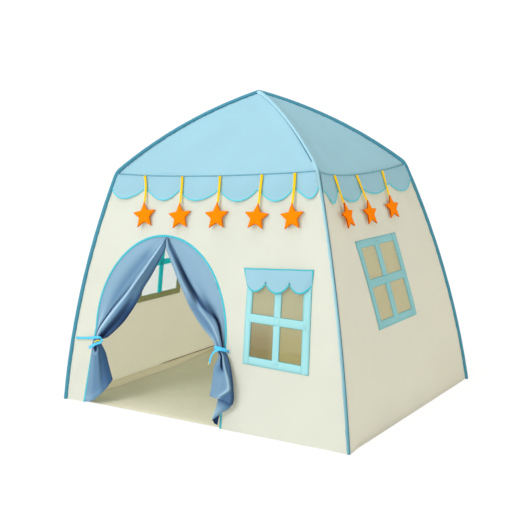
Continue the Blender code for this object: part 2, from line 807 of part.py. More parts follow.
def make_awning():
    """The scalloped flap, which lifts about its sewn top edge."""
    face = FACES["front"]
    out = CLOTH / 2 + GAP + FRAME_CLOTH + GAP + CLOTH / 2
    half = AWNING_WIDTH / 2
    narrow = half - AWNING_TAPER
    steps = AWNING_LOBE_COUNT * LOBE_STEPS
    outline = [(AWNING_ACROSS + half, AWNING_TOP), (AWNING_ACROSS - half, AWNING_TOP)]
    for step in range(steps + 1):
        across = AWNING_ACROSS + narrow * (2 * step / steps - 1)
        swell = abs(sin(pi * step / LOBE_STEPS))
        outline.append((across, AWNING_TOP - AWNING_DROP - AWNING_LOBE * swell))
    awning = cut_cloth("window_awning", [outline], face, out, CLOTH)
    keep(awning, "roof_cloth", face.at(AWNING_ACROSS, AWNING_TOP, out))


# Curtains and their ties

class Curtain:
    """One half of the door curtain, sewn along its side of the arch and tied at a waist."""

    def __init__(self, side, waist, tail_across, hem_rise, hem_power, swing, sag_shares, inset):
        self.side = side
        self.waist = waist
        self.tail_across = tail_across
        self.hem_rise = hem_rise
        self.hem_power = hem_power
        self.swing = swing
        self.sag_shares = sag_shares
        self.inset = BINDING_WIDTH + inset
        self.band = TIE_WIDTH / 2 + GAP

    def sewn(self, height):
        """The sewn edge at a height."""
        return DOOR_CENTRE + self.side * door_half_width(height, self.side, self.inset)

    def arch(self, row):
        """The sewn edge at a row above the waist, which meets the binding corner by corner."""
        height = DOOR_SPRING + (DOOR_RISE - self.inset) * cos(pi * row / ARCH_STEPS)
        if row == UPPER_ROW_STEPS:
            height = self.waist + self.band
        return Vector((self.sewn(height), height))

    def parting(self):
        """The top of the sewn edge, just beside the other curtain."""
        share = CURTAIN_PARTING / 2 / (self.arch(1) - self.arch(0)).length
        return self.arch(0).lerp(self.arch(1), share)

    def upper(self, share, row):
        """A place between the sewn edge and the free edge, above the waist."""
        along = row / UPPER_ROW_STEPS
        low = self.waist + self.band
        fixed = self.arch(row) if row else self.parting()
        start = self.parting() - Vector((0, CURTAIN_TOP_WIDTH))
        end = Vector((self.sewn(low) - self.side * WAIST_WIDTH, low))
        pull = Vector((start.x + (end.x - start.x) * self.sag_shares[0],
                       start.y + (end.y - start.y) * self.sag_shares[1]))
        free = start.lerp(pull, along).lerp(pull.lerp(end, along), along)
        return fixed.lerp(free, share)

    def tail(self, share, row):
        """A place below the waist, where the cloth spreads again to its hem."""
        along = row / TAIL_ROW_STEPS
        high = self.waist - self.band
        low = HEM_CLEARANCE + self.hem_rise * share ** self.hem_power
        jamb = self.sewn(high + (HEM_CLEARANCE - high) * along)
        width = WAIST_WIDTH + (self.tail_across - WAIST_WIDTH) * sin(pi / 2 * along)
        return Vector((jamb - self.side * width * share, high + (low - high) * along))

    def place(self, share, row):
        """A place on the folded curtain; rows count from the crown down."""
        in_tail = row > UPPER_ROW_STEPS
        spot = self.tail if in_tail else self.upper
        row = row - UPPER_ROW_STEPS - 1 if in_tail else row
        point = spot(share, row)
        width = (spot(1, row) - spot(0, row)).length
        fold = FOLD_DEPTH_SHARE * width / FOLD_COUNT * sin(2 * pi * FOLD_COUNT * share ** FOLD_POWER)
        if in_tail:
            loose = sin(pi / 2 * row / TAIL_ROW_STEPS)
            point.x += self.side * self.swing[0] * loose * sin(pi * share) ** 2
            fold += self.swing[1] * loose * sin(pi / 2 * share) ** SWING_POWER
        return FACES["front"].at(point.x, point.y, fold)


LEFT_CURTAIN = Curtain(-1, LEFT_WAIST_HEIGHT, LEFT_TAIL_ACROSS, LEFT_HEM_RISE, LEFT_HEM_POWER,
                       (0, 0), LEFT_SAG_SHARES, 2 * GAP)
RIGHT_CURTAIN = Curtain(1, RIGHT_WAIST_HEIGHT, RIGHT_TAIL_ACROSS, RIGHT_HEM_RISE, RIGHT_HEM_POWER,
                        (RIGHT_SWING_ACROSS, RIGHT_SWING_OUT), RIGHT_SAG_SHARES, GAP + CLOTH / 2)


def make_curtain(name, curtain):
    """A folded curtain, narrow at its waist and flared at its tail."""
    rows = UPPER_ROW_STEPS + 1 + TAIL_ROW_STEPS
    cloth = sheet(name, FOLD_COLUMN_STEPS, rows, curtain.place, CLOTH)
    keep(cloth, "curtain_cloth")


def make_tie(name, curtain, start):
    """A ribbon from the wall, over the gathered curtain, round its free edge and back inside."""
    face = FACES["front"]
    side = curtain.side
    fold = FOLD_DEPTH_SHARE * WAIST_WIDTH / FOLD_COUNT
    over_wall = CLOTH / 2 + GAP + TIE_THICKNESS / 2
    over_trim = BINDING_THICKNESS / 2 + GAP + TIE_THICKNESS / 2
    over_folds = fold + CLOTH + GAP + TIE_THICKNESS / 2
    jamb = DOOR_CENTRE + side * (door_half_width(curtain.waist, side, 0) + BINDING_WIDTH)
    gathered = curtain.sewn(curtain.waist) - side * TIE_TURN
    free = curtain.sewn(curtain.waist) - side * WAIST_WIDTH
    turned = free - side * over_folds
    path = [(start, over_wall), (jamb, over_wall), (jamb - side * BINDING_WIDTH, over_trim),
            (gathered, over_folds), (free, over_folds), (turned, over_folds / 2), (turned, -over_folds / 2),
            (free, -over_folds), (gathered, -over_folds), (jamb - side * BINDING_WIDTH, -over_trim),
            (jamb, -over_wall), (jamb + side * TIE_SEWN_ON, -over_wall)]

    def place(share, row):
        across, out = path[round(share * (len(path) - 1))]
        height = curtain.waist + TIE_WIDTH * (row - 1 / 2)
        return face.at(across, height, out)

    ribbon = sheet(name, len(path) - 1, 1, place, TIE_THICKNESS)
    keep(ribbon, "ribbon")


# Assembly

make_hub()
for corner_name, corner_signs in CORNERS.items():
    make_corner(corner_name, corner_signs)
make_walls()
make_floor()
make_roof()
make_valances()
make_pendants()
make_door_binding()
make_windows()
make_awning()
make_curtain("curtain_left", LEFT_CURTAIN)
make_curtain("curtain_right", RIGHT_CURTAIN)
make_tie("tieback_left", LEFT_CURTAIN, -FACES["front"].edge(LEFT_WAIST_HEIGHT + TIE_WIDTH / 2))
make_tie("tieback_right", RIGHT_CURTAIN,
         DOOR_CENTRE + door_half_width(RIGHT_WAIST_HEIGHT, 1, 0) + TIE_SEWN_ON)
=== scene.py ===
"""Kids play tent as cloth: the visual model over the CAD frame. Metres, +Z up, the door faces -Y."""

from math import cos, exp, hypot, log, pi, radians, sin, sqrt, tan

import bpy
import numpy as np
from mathutils import Matrix, Vector, noise
from mathutils.geometry import delaunay_2d_cdt


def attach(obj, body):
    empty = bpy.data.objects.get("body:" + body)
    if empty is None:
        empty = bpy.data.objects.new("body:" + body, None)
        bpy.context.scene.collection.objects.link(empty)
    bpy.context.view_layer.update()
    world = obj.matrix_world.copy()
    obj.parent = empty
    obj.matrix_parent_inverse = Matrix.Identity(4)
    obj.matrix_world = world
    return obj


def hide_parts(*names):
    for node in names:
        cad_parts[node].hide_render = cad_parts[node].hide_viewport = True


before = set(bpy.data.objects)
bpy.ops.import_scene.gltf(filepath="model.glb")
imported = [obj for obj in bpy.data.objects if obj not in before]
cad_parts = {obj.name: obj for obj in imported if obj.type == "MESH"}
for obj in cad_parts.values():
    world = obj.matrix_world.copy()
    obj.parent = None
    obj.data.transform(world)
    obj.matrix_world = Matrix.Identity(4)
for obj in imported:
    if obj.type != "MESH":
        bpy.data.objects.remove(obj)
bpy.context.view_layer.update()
ACROSS, UP = Vector((1, 0, 0)), Vector((0, 0, 1))


# Camera

EYE = Vector((1.92765, -2.81295, 0.98661))
AZIMUTH, ELEVATION, ROLL = radians(34.7188), radians(7.7099), radians(-1.9252)
LENS_MM, SENSOR_MM = 60.033, 36


def set_camera():
    """The photo's own view."""
    back = Vector((sin(AZIMUTH) * cos(ELEVATION), -cos(AZIMUTH) * cos(ELEVATION), sin(ELEVATION)))
    right = (-back).cross(UP).normalized()
    up = right.cross(-back)
    right, up = right * cos(ROLL) + up * sin(ROLL), up * cos(ROLL) - right * sin(ROLL)
    data = bpy.data.cameras.new("camera")
    data.lens, data.sensor_width = LENS_MM, SENSOR_MM
    data.clip_start, data.clip_end = 0.05, 100
    camera = bpy.data.objects.new("camera", data)
    camera.matrix_world = Matrix.Translation(EYE) @ Matrix((right, up, back)).transposed().to_4x4()
    bpy.context.scene.collection.objects.link(camera)
    bpy.context.scene.camera = camera


set_camera()


# Shared shape: one bowed corner line, as in the CAD part

FOOT = Vector((0.64, 0.5, 0))
EAVE = Vector((0.452, 0.332, 0.89))
APEX = Vector((0, 0, 1.18))
LEG_BOW, ROOF_BOW, BEND_RADIUS = 0.031, 0.029, 0.055


def square_to(chord, lean):
    """The unit vector nearest to lean that is square to a chord."""
    chord = chord.normalized()
    return (lean - chord * lean.dot(chord)).normalized()


OUTWARD = Vector((EAVE.x, EAVE.y, 0)).normalized()
LEG_OUT = square_to(EAVE - FOOT, OUTWARD)
ROOF_OUT = square_to(APEX - EAVE, OUTWARD / 2 + UP)


def bowed(start, end, bow, out, share):
    """A point on a line that bows outward between its ends."""
    return start.lerp(end, share) + out * (4 * bow * share * (1 - share))


def leg(share):
    return bowed(FOOT, EAVE, LEG_BOW, LEG_OUT, share)


def ridge(share):
    return bowed(EAVE, APEX, ROOF_BOW, ROOF_OUT, share)


def corner_line():
    """The whole pole line of one corner, with its rounded eave bend, and the index at its middle."""
    back = (leg(7 / 8) - EAVE).normalized()
    ahead = (ridge(1 / 6) - EAVE).normalized()
    reach = BEND_RADIUS * tan((pi - back.angle(ahead)) / 2)
    start, end = EAVE + back * reach, EAVE + ahead * reach
    legs = [leg(k / 60) for k in range(61)]
    roofs = [ridge(k / 40) for k in range(41)]
    legs = [p for p in legs if (p - EAVE).length > reach + 0.008]
    roofs = [p for p in roofs if (p - EAVE).length > reach + 0.008]
    bend = [start.lerp(EAVE, k / 8).lerp(EAVE.lerp(end, k / 8), k / 8) for k in range(9)]
    return legs + bend + roofs, len(legs) + 4


LINE, EAVE_INDEX = corner_line()
LEG = [leg(k / 80) for k in range(81)]
LOWEST, STEP = -0.04, 0.001


def table(line, axis):
    """The x or y of a line of points, read at every millimetre of height from below the ground."""
    heights = np.arange(LOWEST, 1.25, STEP)
    return [float(v) for v in np.interp(heights, [p.z for p in line], [p[axis] for p in line])]


def read(values, height):
    """A value of such a table at a height."""
    place = (height - LOWEST) / STEP
    low = min(max(int(place), 0), len(values) - 2)
    return values[low] + (values[low + 1] - values[low]) * (place - low)


# By whether a side is turned: the depth of the plain wall, and of the corner with its rounded bend
PLAIN = {turned: table(LEG, 1 - turned) for turned in (False, True)}
ROUND = {turned: table(LINE, 1 - turned) for turned in (False, True)}


def smooth(low, high, value):
    """0 below low, 1 above high, and a smooth step between."""
    share = min(max((value - low) / (high - low), 0), 1)
    return share * share * (3 - 2 * share)


def wobble(x, y, z=0.0):
    """Smooth noise from about -1 to 1."""
    return noise.noise(Vector((x, y, z)))


# Heights of the eave seam at shares of each side's half width
SEAMS = {
    "front": ((-1, 0.8835), (-0.68, 0.8765), (-0.27, 0.872), (0.12, 0.8728), (0.52, 0.877), (0.83, 0.8815),
              (1, 0.8855)),
    "right": ((-1, 0.8785), (-0.74, 0.868), (-0.5, 0.863), (-0.26, 0.8615), (0.04, 0.863), (0.38, 0.8672),
              (0.7, 0.8745), (1, 0.8825)),
    "back": ((-1, 0.885), (-0.5, 0.8745), (0, 0.871), (0.5, 0.8745), (1, 0.885)),
    "left": ((-1, 0.882), (-0.5, 0.869), (0, 0.8625), (0.5, 0.869), (1, 0.882)),
}


SEAM_GAP = 0.008  # from a pole's own line to its sewn seam
ROOF_SLOPE = Vector((0, -0.5, 0.86))


class Face:
    """One side of the tent, drawn as if it were the front: x across, -y outward."""

    def __init__(self, side, turned, degrees_round, seed):
        self.side, self.turned, self.seed = side, turned, seed
        self.spin = Matrix.Rotation(radians(degrees_round), 4, "Z")
        shares, heights = zip(*SEAMS[side])
        curve = np.polyfit(shares, heights, 4)
        self.line = [float(v) for v in np.polyval(curve, np.linspace(-1.05, 1.05, 211))]

    def depth(self, height, share=0.0):
        """Distance of the cloth from the middle of the tent; the eave corners are rounded."""
        plain = read(PLAIN[self.turned], height)
        if abs(share) < 0.6:
            return plain
        return plain + (read(ROUND[self.turned], height) - plain) * smooth(0.6, 1, abs(share))

    def edge(self, height):
        """Half the width of the cloth, to the pole's own line."""
        return read(ROUND[not self.turned], height)

    def slope(self, height):
        """The outward direction of the wall at a height."""
        step = 0.01
        lean = (self.depth(height + step) - self.depth(height - step)) / (2 * step)
        return Vector((0, -1, -lean)).normalized()

    def seam(self, share):
        """Height of the eave seam."""
        place = min(max((share + 1.05) * 100, 0), 209.99)
        low = int(place)
        return self.line[low] + (self.line[low + 1] - self.line[low]) * (place - low)

    def wrap(self, share, gap):
        """How far the cloth stands out to pass over the front right pole."""
        if self.side == "front" and share > 0 or self.side == "right" and share < 0:
            return 0.0055 * smooth(0.075, 0.004, gap)
        return 0.0

    def pucker(self, high, place, turns, waver, gap, fade):
        """Small uneven folds along a seam, which fade away from it."""
        return high * sin(place * turns + 5 * wobble(place * waver, self.seed)) * exp(-max(gap, 0) / fade)

    def ripple(self, across, height):
        """Soft waves of the cloth, still at the sewn edges, and small puckers beside the seams."""
        s = self.seed
        edge = self.edge(height)
        side_gap = edge - abs(across)
        seam_gap = self.seam(across / edge) - height
        free = smooth(0, 0.12, side_gap) * smooth(0, 0.1, seam_gap) * smooth(-0.03, 0.12, height)
        wave = 0.0034 * wobble(across * 3.3 + s, height * 2.2, s)
        wave += 0.0012 * wobble(across * 9 + s, height * 5, s)
        pull = 0.0012 * wobble(across * 14 + s, height * 1.6, s + 4) * smooth(0.3, 0.0, seam_gap)
        pucker = self.pucker(0.0007, height, 350, 30, side_gap - SEAM_GAP, 0.013)
        return (wave + pull) * free + (pucker + self.pucker(0.0005, across, 390, 30, seam_gap, 0.012))

    def at(self, across, height, out=0.0, ripple=True):
        """A place on the wall cloth, before the side is turned."""
        share = across / self.edge(height)
        stand = out + (self.ripple(across, height) if ripple else 0)
        stand += self.wrap(share, self.edge(height) - abs(across))
        point = Vector((across, -self.depth(height, share), height))
        return point + self.slope(height) * stand

    def roof_at(self, share, t):
        """A place on the roof cloth; t runs from the eave seam to the peak."""
        p = Vector(ridge_point(t))
        if self.turned:
            p.x, p.y = p.y, p.x
        drop = (EAVE.z - 0.0045 - self.seam(share)) * (1 - t) ** 2
        seam_out = (self.depth(EAVE.z - drop) - self.depth(EAVE.z)) * (1 - share ** 6)
        plain = Vector((share * p.x, -p.y - seam_out, p.z - drop))
        s = self.seed
        free = (1 - share ** 4) * smooth(0, 0.12, t) * smooth(1, 0.8, t)
        wave = 0.0035 * wobble(plain.x * 4 + s, t * 1.7, s) + 0.0012 * wobble(plain.x * 11, t * 4 + s, s)
        side_gap = (1 - abs(share)) * p.x
        pucker = self.pucker(0.0006, t, 190, 16, side_gap - SEAM_GAP, 0.012)
        pucker += self.pucker(0.0006, plain.x, 380, 30, t * 0.6, 0.014)
        stand = self.wrap(share, side_gap) * smooth(1.0, 0.9, t)
        low = smooth(0.07, 0, t)
        away = Vector((0, -0.5 - 0.5 * low, 0.86 * (1 - low)))
        sag = 0.006 * (1 - share * share) * sin(pi * t)
        return plain + ROOF_SLOPE * (wave * free + pucker - sag) + away * stand


def ridge_point(t):
    """The roof's edge line from the middle of the eave bend to the peak."""
    place = EAVE_INDEX + t * (len(LINE) - 1 - EAVE_INDEX)
    low = min(int(place), len(LINE) - 2)
    return LINE[low].lerp(LINE[low + 1], place - low)


FACES = {
    "front": Face("front", False, 0, 1.7),
    "right": Face("right", True, 90, 12.4),
    "back": Face("back", False, 180, 25.9),
    "left": Face("left", True, 270, 37.2),
}
FRONT = FACES["front"]


# Mesh building

def build(name, points, faces, uvs, material, body="tent", replaces=(), slot=None, spin=None, shade=None):
    """A smooth piece that rides a body; uvs are in metres, one for each point; shade is its painted fold shade,
    from 0 lightest to 1 darkest.
    """
    mesh = bpy.data.meshes.new(name)
    mesh.from_pydata([tuple(p) for p in points], [], faces)
    if spin is not None:
        mesh.transform(spin)
    index = np.empty(len(mesh.loops), dtype=np.int32)
    mesh.loops.foreach_get("vertex_index", index)
    layers = {"Cloth": uvs}
    # Painted fold shade goes in a uv layer of its own
    if shade is not None:
        layers["Depth"] = [(painted_shade, 0) for painted_shade in shade]
    for layer, pairs in layers.items():
        made = mesh.uv_layers.new(name=layer)
        made.data.foreach_set("uv", np.asarray(pairs, dtype=np.float32)[index].ravel())
    mesh.polygons.foreach_set("use_smooth", [True] * len(mesh.polygons))
    mesh.materials.append(material)
    mesh.update()
    thing = bpy.data.objects.new(name, mesh)
    bpy.context.scene.collection.objects.link(thing)
    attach(thing, body)
    if replaces:
        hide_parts(*replaces)
    return thing


def grid_faces(columns, rows, close=False):
    """Quads of a grid whose points run column by column within each row."""
    wide = columns if close else columns + 1
    faces = []
    for r in range(rows):
        for c in range(columns):
            a, b = r * wide + c, r * wide + (c + 1) % wide
            faces.append((a, b, b + wide, a + wide))
    return faces


def tube_faces(around, rings):
    """Quads of a tube and its two end caps."""
    last = (rings - 1) * around
    caps = [tuple(range(around - 1, -1, -1)), tuple(range(last, last + around))]
    return grid_faces(around, rings - 1, close=True) + caps


def grid(place, us, vs, flip=False):
    """Points, faces and uvs of a surface; place gives a point and its uv."""
    made = [place(u, v) for v in vs for u in us]
    faces = grid_faces(len(us) - 1, len(vs) - 1)
    return [p for p, _ in made], [f[::-1] for f in faces] if flip else faces, [uv for _, uv in made]


def lengths(points):
    """The distance run along a line at each of its points."""
    runs = [0.0]
    for a, b in zip(points, points[1:]):
        runs.append(runs[-1] + (b - a).length)
    return runs


def part_way(line, runs, place):
    """The point at a distance along a line, and the number of the span that holds it."""
    i = max(0, min(int(np.searchsorted(runs, place, side="right")) - 1, len(line) - 2))
    return line[i].lerp(line[i + 1], (place - runs[i]) / max(runs[i + 1] - runs[i], 1e-9)), i


def sweep(path, sides, normals, section, sizes=None):
    """A profile of (side, out) pairs carried along a path; sizes scale it."""
    runs = lengths(path)
    around = lengths([Vector(pair) for pair in section])
    points, uvs = [], []
    for i, (p, s, n) in enumerate(zip(path, sides, normals)):
        k = sizes[i] if sizes else 1
        for (a, b), w in zip(section, around):
            points.append(p + s * (a * k) + n * (b * k))
            uvs.append((w, runs[i]))
    return points, tube_faces(len(section), len(path)), uvs


def frames_of(path, outs):
    """Side directions square to a path and to its outward directions."""
    last = len(path) - 1
    return [(path[min(i + 1, last)] - path[max(i - 1, 0)]).normalized().cross(out).normalized()
            for i, out in enumerate(outs)]


def strip(name, path, outs, section, material, sizes=None, **where):
    """A piece that is a profile carried along a path."""
    return build(name, *sweep(path, frames_of(path, outs), outs, section, sizes), material, **where)


def join(parts):
    """Several (points, faces, uvs) as one."""
    points, faces, uvs = [], [], []
    for p, f, u in parts:
        start = len(points)
        points += p
        faces += [tuple(i + start for i in face) for face in f]
        uvs += u
    return points, faces, uvs


def tape_section(width, thick, round_steps=3):
    """A flat tape with rounded edges, lying on its back: out from 0 to thick."""
    half, r = width / 2, thick / 2
    turns = [pi * (k / round_steps - 0.5) for k in range(round_steps + 1)]
    right = [(half - r + r * cos(a), r + r * sin(a)) for a in turns]
    return right + [(-half + r - r * cos(a), r - r * sin(a)) for a in turns]


def ring(outline, step):
    """2-D points about step apart round a closed outline."""
    line = [Vector(p) for p in outline + outline[:1]]
    runs = lengths(line)
    count = round(runs[-1] / step)
    return [part_way(line, runs, runs[-1] * k / count)[0] for k in range(count)]


def spline(points, count):
    """A smooth line through points, cut into evenly long spans."""
    line = [Vector(p) for p in points]
    line = [line[0] * 2 - line[1]] + line + [line[-1] * 2 - line[-2]]
    dense = []
    for i in range(1, len(line) - 2):
        a, b, c, d = line[i - 1:i + 3]
        for t in (k / 16 for k in range(16)):
            dense.append(0.5 * (2 * b + (c - a) * t + (2 * a - 5 * b + 4 * c - d) * t * t
                                + (3 * b - a - 3 * c + d) * t ** 3))
    dense.append(line[-2])
    runs = lengths(dense)
    return [part_way(dense, runs, runs[-1] * k / count)[0] for k in range(count + 1)]


def inside(points, outline):
    """Which 2-D points lie in an outline."""
    hit = np.zeros(len(points), bool)
    for (ax, ay), (bx, by) in zip(outline, outline[1:] + outline[:1]):
        if ay == by:
            continue
        cross = (ay > points[:, 1]) != (by > points[:, 1])
        hit ^= cross & (points[:, 0] < ax + (points[:, 1] - ay) / (by - ay) * (bx - ax))
    return hit


def gaps(points, outline):
    """The shortest distance from each 2-D point to a closed outline."""
    best = np.full(len(points), 9.0)
    for a, b in zip(outline, outline[1:] + outline[:1]):
        a, b = np.array(a), np.array(b)
        span = b - a
        share = np.clip((points - a) @ span / max(span @ span, 1e-12), 0, 1)
        best = np.minimum(best, np.hypot(*(points - a - share[:, None] * span).T))
    return best


def mirrored(shares):
    """Shares from 0 to 1, also run down to -1."""
    return [-s for s in shares[:0:-1]] + shares


def spread(fine, coarse, reach):
    """Shares from 0 to 1, fine near 1 within reach."""
    first = list(np.linspace(0, 1 - reach, max(2, round((1 - reach) / coarse)) + 1))
    return first + list(np.linspace(1 - reach, 1, round(reach / fine) + 1))[1:]


# Materials

def linear(colour, share=1.0):
    """An sRGB colour, 0 to 255, as a share of its linear light."""
    parts = [c / 255 for c in colour]
    parts = [s / 12.92 if s <= 0.04045 else ((s + 0.055) / 1.055) ** 2.4 for s in parts]
    return tuple(min(s * share, 1) for s in parts) + (1,)


class Nodes:
    """A small helper that adds and links the nodes of one material or of the world."""

    def __init__(self, name, owner=None, kind="Material"):
        self.owner = owner or bpy.data.materials.new(name)
        self.owner.use_nodes = True
        self.tree = self.owner.node_tree
        self.tree.nodes.clear()
        self.out = self.tree.nodes.new("ShaderNodeOutput" + kind)

    def add(self, kind, inputs=(), **settings):
        made = self.tree.nodes.new("ShaderNode" + kind)
        for key, value in settings.items():
            setattr(made, key, value)
        for key, value in dict(inputs).items():
            if isinstance(value, bpy.types.NodeSocket):
                self.tree.links.new(value, made.inputs[key])
            else:
                made.inputs[key].default_value = value
        return made

    def object_place(self):
        return self.add("TexCoord").outputs["Object"]

    def uv(self, layer="Cloth"):
        return self.add("UVMap", uv_map=layer).outputs[0]

    def axis(self, vector, name):
        return self.add("SeparateXYZ", {0: vector}).outputs[name]

    def noise(self, vector, scale, **more):
        return self.add("TexNoise", {"Vector": vector, "Scale": scale, **more}).outputs["Fac"]

    def math(self, operation, a, b=0.0, c=0.0):
        return self.add("Math", {0: a, 1: b, 2: c}, operation=operation).outputs[0]

    def span(self, value, start, end):
        """0 where the value is at start, 1 at end."""
        return self.add("MapRange", {"Value": value, "From Min": start, "From Max": end}).outputs[0]

    def mix(self, factor, a, b, **settings):
        return self.add("Mix", {0: factor, 6: a, 7: b}, data_type="RGBA", **settings).outputs[2]

    def ramp(self, factor, places):
        """Colours at places: (place, sRGB colour) pairs in order."""
        made = self.add("ValToRGB", {"Fac": factor})
        elements = made.color_ramp.elements
        while len(elements) > 1:
            elements.remove(elements[-1])
        for k, (place, colour) in enumerate(places):
            stop = elements[0] if k == 0 else elements.new(place)
            stop.position = place
            stop.color = linear(colour)
        return made.outputs["Color"]

    def bump(self, height, strength=1.0, distance=1.0):
        return self.add("Bump", {"Height": height, "Strength": strength, "Distance": distance}).outputs[0]

    def principled(self, colour, rough, **more):
        names = {key.replace("_", " "): value for key, value in more.items()}
        return self.add("BsdfPrincipled", {"Base Color": colour, "Roughness": rough, **names})

    def blend(self, factor, first, second):
        return self.add("MixShader", {0: factor, 1: first.outputs[0], 2: second.outputs[0]})

    def finish(self, shader):
        self.tree.links.new(shader.outputs[0], self.out.inputs["Surface"])
        return self.owner


WEAVE_DEPTH = 0.00006
SLEEVE_RADIUS, SLEEVE_ROUND = 0.011, 0.0692  # of a sleeve's uv, and once round it


def cloth(name, colour, translucency=0.0, rough=0.85, sheen=0.05, pitch=0.0011, vary=0.05, painted_shade=None, glow=None,
          crinkle=0.0, around=None):
    """Woven cloth: two crossed thread waves, soft colour variation, sheen and light through it.

    The fold ramp, read from the piece's uv layer of painted shade, paints fold highlights and fold shade;
    around is a ramp of painted light and shade round a sleeve, with a plain colour high up and a darker painted
    shade low down.
    """
    n = Nodes(name)
    uv, place = n.uv(), n.object_place()
    threads = [n.add("TexWave", {"Vector": uv, "Scale": 1 / pitch / 3.1, "Distortion": 0.35, "Detail": 1.0},
                     bands_direction=axis).outputs["Fac"] for axis in "XY"]
    over = n.math("MAXIMUM", *threads)
    spots = n.math("MULTIPLY", n.noise(uv, 300.0, Detail=2.0), 0.25)
    spots = n.math("MULTIPLY_ADD", n.noise(place, 5.0, Detail=3.0), 0.75, spots)
    shade = n.mix(spots, linear(colour, 1 - 2 * vary), linear(colour, 1 + 2 * vary))
    shade = n.mix(n.math("MULTIPLY", n.math("SUBTRACT", 1.0, over), 0.18), shade, linear(colour, 0.8))
    # Round a sleeve: painted light and shade, a plain colour high up and a darker painted shade low down
    if around:
        ramp = n.ramp(n.math("MULTIPLY", n.axis(uv, "X"), 1 / SLEEVE_ROUND), around[0])
        height = n.axis(uv, "Y")
        shade = n.mix(n.math("MULTIPLY", n.span(height, 0.42, 0.05), 0.6), ramp, linear(around[2]))
        shade = n.mix(n.span(height, 0.9, 0.98), shade, linear(around[1]))
    # Painted fold light and shade, multiplied into the colour
    if painted_shade:
        shade = n.mix(1.0, shade, n.ramp(n.axis(n.uv("Depth"), "X"), painted_shade), blend_type="MULTIPLY")
    height = n.math("MULTIPLY", over, WEAVE_DEPTH)
    if crinkle:
        creases = n.noise(place, 46.0, Detail=4.0, Distortion=0.6)
        height = n.math("ADD", height, n.math("MULTIPLY", creases, crinkle))
    bump = n.bump(height)
    surface = n.principled(shade, rough, Normal=bump, Sheen_Weight=sheen, Sheen_Roughness=0.5,
                           Specular_IOR_Level=0.12)
    if not translucency:
        return n.finish(surface)
    through = n.add("BsdfTranslucent", {"Color": linear(glow) if glow else shade, "Normal": bump})
    return n.finish(n.blend(translucency, surface, through))


MESH_PITCH = 0.0014


def net_material(name, colour, cover, low=None):
    """Fine netting: square threads with open holes between them; low gives two darker colours of painted shade
    lower down, the darker one towards the left.
    """
    n = Nodes(name)
    uv = n.uv()
    lines = []
    for axis in "XY":
        spot = n.math("FRACT", n.math("MULTIPLY", n.axis(uv, axis), 1 / MESH_PITCH))
        lines.append(n.math("LESS_THAN", n.math("ABSOLUTE", n.math("SUBTRACT", spot, 0.5)), cover / 2))
    shade = linear(colour)
    if low:
        aside = n.mix(n.span(n.axis(uv, "X"), 0.01, -0.04), linear(low[0]), linear(low[1]))
        shade = n.mix(n.span(n.axis(uv, "Y"), 0.03, -0.07), shade, aside)
    return n.finish(n.blend(n.math("MAXIMUM", *lines), n.add("BsdfTransparent"), n.principled(shade, 0.7)))


def plastic(name, colour, rough=0.4):
    """Moulded or drawn plastic with a faint mottle."""
    n = Nodes(name)
    mottle = n.noise(n.object_place(), 60.0, Detail=3.0)
    shade = n.mix(mottle, linear(colour, 0.9), linear(colour))
    return n.finish(n.principled(shade, n.math("MULTIPLY_ADD", mottle, 0.15, rough),
                                 Normal=n.bump(mottle, 0.15, 0.0005)))


def felt(name, colour, side):
    """Soft brushed cloth, with painted shade in a darker red at its rim, where it turns away."""
    n = Nodes(name)
    place = n.object_place()
    fuzz = n.noise(place, 900.0, Detail=4.0)
    spots = n.math("MULTIPLY_ADD", fuzz, 0.3, n.math("MULTIPLY", n.noise(place, 30.0, Detail=2.0), 0.3))
    shade = n.mix(n.axis(n.uv(), "Y"), n.mix(spots, linear(colour), linear(colour, 0.86)), linear(side))
    return n.finish(n.principled(shade, 0.9, Normal=n.bump(fuzz, 0.5, 0.0004), Specular_IOR_Level=0.06))


def twist(name, colour, edge):
    """Twisted yarn with its strands at a slant; its second colour is painted shade between the strands."""
    n = Nodes(name)
    wave = n.add("TexWave", {"Vector": n.uv(), "Scale": 130.0, "Distortion": 0.6},
                 bands_direction="DIAGONAL").outputs["Fac"]
    shade = n.mix(wave, linear(edge), linear(colour))
    return n.finish(n.principled(shade, 0.8, Normal=n.bump(wave, 0.6, 0.0004), Specular_IOR_Level=0.1))


# Painted fold light and shade for the curtains: lighter than the cloth at 0, its plain colour at 0.2, darkest
# navy at 1
PAINTED_FOLD_SHADE = ((0, (255, 255, 255)), (0.2, (199, 208, 214)), (0.5, (154, 172, 189)), (0.75, (98, 122, 152)),
         (1, (50, 74, 112)))
# Painted light and shade round the front right sleeve: lit, then its shaded side, then lit again
SLEEVE_PAINTED_LIGHT = (
    (0.0, (192, 216, 220)), (0.08, (168, 206, 214)), (0.18, (146, 192, 204)), (0.27, (108, 160, 178)),
    (0.34, (44, 96, 116)), (0.5, (32, 84, 104)), (0.72, (66, 120, 140)), (0.94, (198, 216, 220)))
WALL = cloth("wall_weave", (235, 240, 232), 0.34, glow=(244, 238, 212))
# The left and back walls, seen from inside: a copy of the wall cloth painted lighter and letting more light
# through, as painted light
WALL_PAINTED_LIGHTER = cloth("wall_weave_painted_lighter", (240, 241, 231), 0.48, glow=(248, 242, 212))
ROOF = cloth("roof_weave", (163, 209, 227), 0.2, glow=(150, 205, 225))
FLOOR = cloth("floor_weave", (229, 225, 200), pitch=0.0016, crinkle=0.0008)
# Curtain cloth, with painted fold light and shade
CURTAIN = cloth("curtain_weave", (174, 209, 232), 0.02, sheen=0.1, vary=0.03, painted_shade=PAINTED_FOLD_SHADE)
# The left and back sleeves: the pale sleeve cloth painted darker teal, as the shade on their far side
SLEEVE_PAINTED_SHADE = cloth("sleeve_painted_shade", (74, 144, 166))
